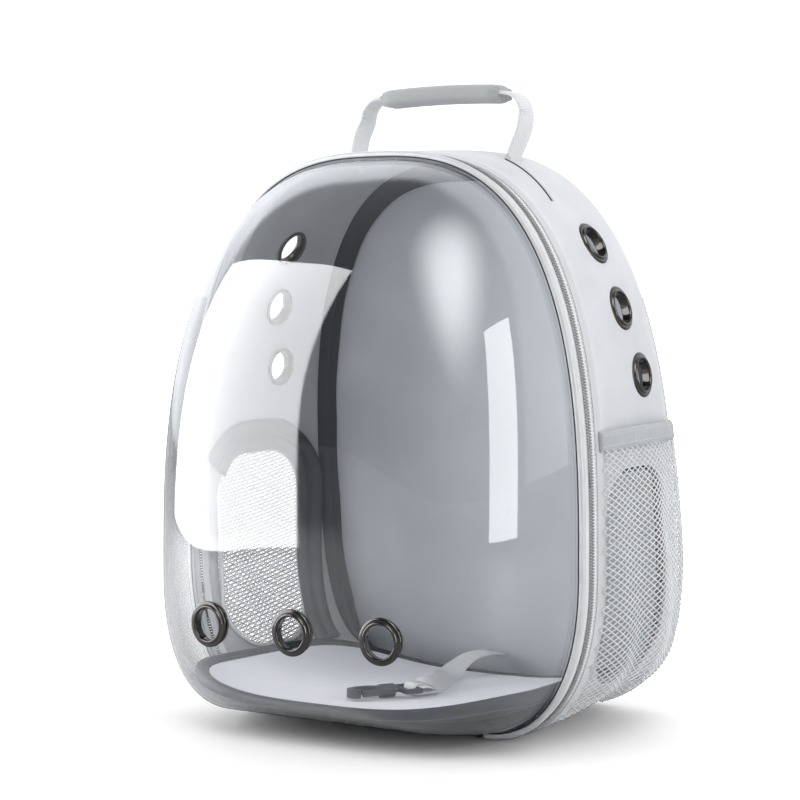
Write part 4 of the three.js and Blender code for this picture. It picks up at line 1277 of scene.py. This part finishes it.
def round_edges(name, width, material):
    """A hard node keeps its own mesh, with its edges rounded."""
    node = NODES[name]
    node.data.materials.clear()
    node.data.materials.append(material)
    bevel = node.modifiers.new("round", "BEVEL")
    bevel.width = width * MM
    bevel.segments = 3
    bevel.limit_method = "ANGLE"
    bevel.angle_limit = math.radians(40)
    smooth_faces(node.data)


# The handle

GRIP_GATHER_OVER = 0.16
GRIP_PLEATS = 9
GRIP_BOW = 1.6


def handle_line():
    """The middle of the webbing, from one foot up and over to the other."""
    foot = wall(handle_foot_t(), HANDLE_FOOT_AT, 0.0)
    y = gusset_y(HEIGHT, HANDLE_AT)
    bend_x = HANDLE_TOP_SPREAD - HANDLE_BEND
    bend_z = HANDLE_TOP - HANDLE_BEND
    right = [
        (HANDLE_SPREAD - 0.6, foot[1], foot[2] - 1.2),
        (HANDLE_SPREAD + 1.0, foot[1] + 5, foot[2] + 9),
        (HANDLE_TOP_SPREAD + 1.4, y - 6, bend_z - 12),
    ]
    right += [(bend_x + x, y, bend_z + z) for x, z in arc(HANDLE_BEND, range(0, 91, 18))]
    return smooth_line(right + [(-x, y, z) for x, y, z in right[::-1]], 6)


def handle():
    """A loop of webbing with a padded sleeve gathered at both ends."""
    line = handle_line()
    *form, uv = ribbon(line, BACKWARDS, HANDLE_WIDTH, HANDLE_THICK)
    add_piece("handle_strap", form, WEBBING, "bag", "light_cloth", "handle_webbing", uv=uv)
    y = float(line[len(line) // 2, 1])
    stations = np.linspace(-1, 1, 61)
    turn = full_turn(40)
    cos, sin = np.cos(turn), np.sin(turn)
    sections = []
    for s in stations:
        end = np.clip((1 - abs(s)) / GRIP_GATHER_OVER, 0, 1)
        full = 0.62 + 0.38 * math.sin(end * math.pi / 2) ** 0.8
        wide = GRIP_WIDE / 2 * squarish(cos, 0.75) * (0.8 + 0.2 * end)
        tall = GRIP_TALL / 2 * squarish(sin, 0.75) * full
        gather = (1 - end) * 0.9 * np.sin(turn * GRIP_PLEATS + 1.0)
        ring_x = np.full(len(turn), s * GRIP_LENGTH / 2)
        ring_z = HANDLE_TOP - 0.8 + GRIP_BOW * (1 - s * s) + tall + gather * sin
        sections.append(np.column_stack([ring_x, y + wide + gather * cos, ring_z]))
    uv = loft_uv(stations * GRIP_LENGTH / 2, turn * 9.5)
    grip = add_mesh("handle_sleeve", loft(sections), [GRIP_CLOTH], uv=uv)
    settle(crisp(grip, 60), "bag", "grey_cloth", "handle_grip")


# The wearing straps

STRAP_SEAM = 6.5
STRAP_EDGING = 1.9


def strap_line(rows, side, thick):
    """The middle of a strap that stands off the back panel."""
    points = [(side * row[2], back_y(row[0]) + BACK_OUTSIDE + row[1], row[0]) for row in rows]
    return smooth_line(points, 8) + np.array(BACKWARDS) * thick / 2


def shoulder_strap(name, side):
    """A padded strap, crowned on both faces, with a bound edge and stitches inside it."""
    middle = strap_line(STRAP_ROWS, side, STRAP_THICK)
    heights, _, _, row_widths = np.transpose(STRAP_ROWS[::-1])
    halves = np.interp(middle[:, 2], heights, row_widths) / 2
    along = unit(np.gradient(middle, axis=0))
    sideways = square_to(along, np.array(SIDEWAYS))
    up = unit(np.cross(along, sideways))
    up *= np.sign(up[:, 1:2])
    turn = full_turn(36)
    sections = []
    for k, half in enumerate(halves):
        ends = min(1.0, k / 4 + 0.45, (len(middle) - 1 - k) / 4 + 0.45)
        wide = half * squarish(np.cos(turn), 0.55)
        crown = 0.36 + 0.64 * np.clip(1 - np.abs(wide) / half, 0, 1) ** 0.35
        tall = STRAP_THICK / 2 * squarish(np.sin(turn), 0.5) * crown * ends
        sections.append(middle[k] + wide[:, None] * sideways[k] + tall[:, None] * up[k])
    uv = loft_uv(length_along(middle), np.cos(turn) * 30)
    piece = add_mesh(f"shoulder_pad_{name}", loft(sections), [LIGHT_CLOTH], uv=uv)
    settle(crisp(piece, 60), "bag", "light_cloth", f"shoulder_strap_{name}")
    edges = []
    rows = []
    for way in (-1, 1):
        edges.append(middle + way * (halves - 0.6)[:, None] * sideways)
        inner = middle + way * (halves - STRAP_SEAM)[:, None] * sideways
        rows.append((inner + up * STRAP_THICK * 0.37, up))
    form = tubes(edges, STRAP_EDGING, 10, SIDEWAYS)
    add_piece(f"strap_edging_{name}", form, GREY_CLOTH, "bag", "grey_cloth")
    add_stitches(f"strap_stitches_{name}", rows, THREAD, "bag", "light_cloth", SIDEWAYS)


def strap_webbing(name, side):
    line = strap_line(WEBBING_ROWS, side, WEBBING_THICK)
    *form, uv = ribbon(line, SIDEWAYS, WEBBING_WIDTH, WEBBING_THICK)
    node = f"strap_webbing_{name}"
    add_piece(f"strap_tape_{name}", form, GREY_WEBBING, "bag", "grey_cloth", node, uv=uv)


# The stage

CAMERA_AT = (0.9486, -1.4699, 0.3204)
CAMERA_AZIMUTH = 33.925
CAMERA_ELEVATION = 2.903
CAMERA_LENS = 105.03
FLOOR_HALF = 40000
FLOOR_LOW = -0.3
ROOM_COLOUR = (0.95, 0.97, 1.0, 1)
ROOM_STRENGTH = 0.3
PAPER_STRENGTH = 1.4
PAPER_EDGE = (0.06, 0.2)
PAPER_SLANT = 0.9
PAPER_LEFT = -0.5
BACKDROP_STRENGTH = 1.3


def camera():
    data = bpy.data.cameras.new("camera")
    data.lens = CAMERA_LENS
    data.sensor_width = 36
    data.clip_end = 50
    eye = bpy.data.objects.new("camera", data)
    eye.location = CAMERA_AT
    eye.rotation_euler = (math.radians(90 - CAMERA_ELEVATION), 0, math.radians(CAMERA_AZIMUTH))
    bpy.context.scene.collection.objects.link(eye)
    bpy.context.scene.camera = eye


def soft_box(name, place, aim, size, power, lit=True, mirrored=True, fade=False):
    """A plain rectangular studio light; it may only light cloth, only show in gloss, or fade outwards."""
    data = bpy.data.lights.new(name, "AREA")
    data.shape = "RECTANGLE"
    data.size, data.size_y = size
    data.energy = power
    light = bpy.data.objects.new(name, data)
    light.location = place
    light.rotation_euler = (Vector(aim) - Vector(place)).to_track_quat("-Z", "Y").to_euler()
    light.visible_camera = False
    light.visible_diffuse = lit
    light.visible_glossy = mirrored
    bpy.context.scene.collection.objects.link(light)
    if fade:
        data.use_nodes = True
        tree = data.node_tree
        from_middle = {0: add_node(tree, "ShaderNodeNewGeometry")["Parametric"], 1: (0.5, 0.5, 0)}
        off = add_node(tree, "ShaderNodeVectorMath", from_middle, operation="DISTANCE")["Value"]
        fill(tree, tree.nodes["Emission"], {"Strength": eased(tree, off, (0.0, 0.5), (1.0, 0.0))})


def surroundings():
    """White paper behind and round the part, a dimmer room in front, and pure white to the camera."""
    world = bpy.data.worlds.new("studio")
    bpy.context.scene.world = world
    world.use_nodes = True
    tree = world.node_tree
    ways = {"Vector": add_node(tree, "ShaderNodeTexCoord")["Generated"]}
    way = add_node(tree, "ShaderNodeSeparateXYZ", ways)
    left = maths(tree, "MINIMUM", way["X"], 0.0)
    slant = maths(tree, "MULTIPLY_ADD", way["Z"], PAPER_SLANT, PAPER_LEFT)
    behind = maths(tree, "MULTIPLY_ADD", left, slant, way["Y"])
    paper = eased(tree, behind, PAPER_EDGE, (ROOM_STRENGTH, PAPER_STRENGTH))
    room = tree.nodes["Background"]
    fill(tree, room, {"Color": ROOM_COLOUR, "Strength": paper})
    white = {"Color": (1, 1, 1, 1), "Strength": BACKDROP_STRENGTH}
    backdrop = add_node(tree, "ShaderNodeBackground", white)
    seen = add_node(tree, "ShaderNodeLightPath")["Is Camera Ray"]
    both = {"Fac": seen, 1: room.outputs["Background"], 2: backdrop["Background"]}
    shader = add_node(tree, "ShaderNodeMixShader", both)["Shader"]
    fill(tree, tree.nodes["World Output"], {"Surface": shader})


def floor():
    """A plain white floor that shows only the shadows on it."""
    material = new_material("floor", 0.6, (0.66, 0.66, 0.66), 0.005, 2.0)[0]
    signs = ((-1, -1), (1, -1), (1, 1), (-1, 1))
    corners = [(x * FLOOR_HALF, y * FLOOR_HALF, FLOOR_LOW) for x, y in signs]
    ground = add_mesh("floor", (corners, [[0, 1, 2, 3]]), [material])
    ground.is_shadow_catcher = True


def studio():
    bpy.context.scene.view_settings.view_transform = "Standard"
    surroundings()
    floor()
    middle = (0, -0.1, 0.25)
    soft_box("left_light", (-1.2, -0.97, 0.66), middle, (0.95, 1.1), 18, mirrored=False)
    soft_box("left_gloss", (-1.35, -0.7, 0.65), (-0.779, 0.121, 0.65), (1.58, 1.28), 44, lit=False)
    soft_box("right_light", (1.42, -0.34, 0.58), middle, (0.55, 0.94), 5, mirrored=False)
    soft_box("right_gloss", (1.31, -0.34, 0.52), (0.13, -0.15, 0.52), (0.49, 0.94), 11, lit=False)
    soft_box("top_light", (0.2, -0.3, 2.1), middle, (1.6, 1.6), 13, mirrored=False)
    soft_box("top_gloss", (0.68, -0.83, 1.37), (0.08, -0.16, 0.3), (1.7, 2.1), 100, lit=False, fade=True)


camera()
studio()
leash()
gusset()
seam_tape_and_shade()
handle_slits()
base_panel()
back_panel()
for side_name, side_sign in SIDES.items():
    window_mesh(side_name, side_sign)
    window_binding(side_name, side_sign)
    window_edge(side_name, side_sign)
    pocket_net(side_name, side_sign)
    pocket_hem(side_name, side_sign)
    shoulder_strap(side_name, side_sign)
    strap_webbing(side_name, side_sign)
    round_edges(f"strap_slider_{side_name}", 0.7, BUCKLE)
zip_pieces()
zip_slider()
dome()
piping()
hinge_strip()
for eyelet_name in EYELETS:
    eyelet(eyelet_name)
floor_mat()
mat_binding()
for hook_node in HOOK_NODES:
    round_edges(hook_node, 1.2, HOOK_METAL)
handle()
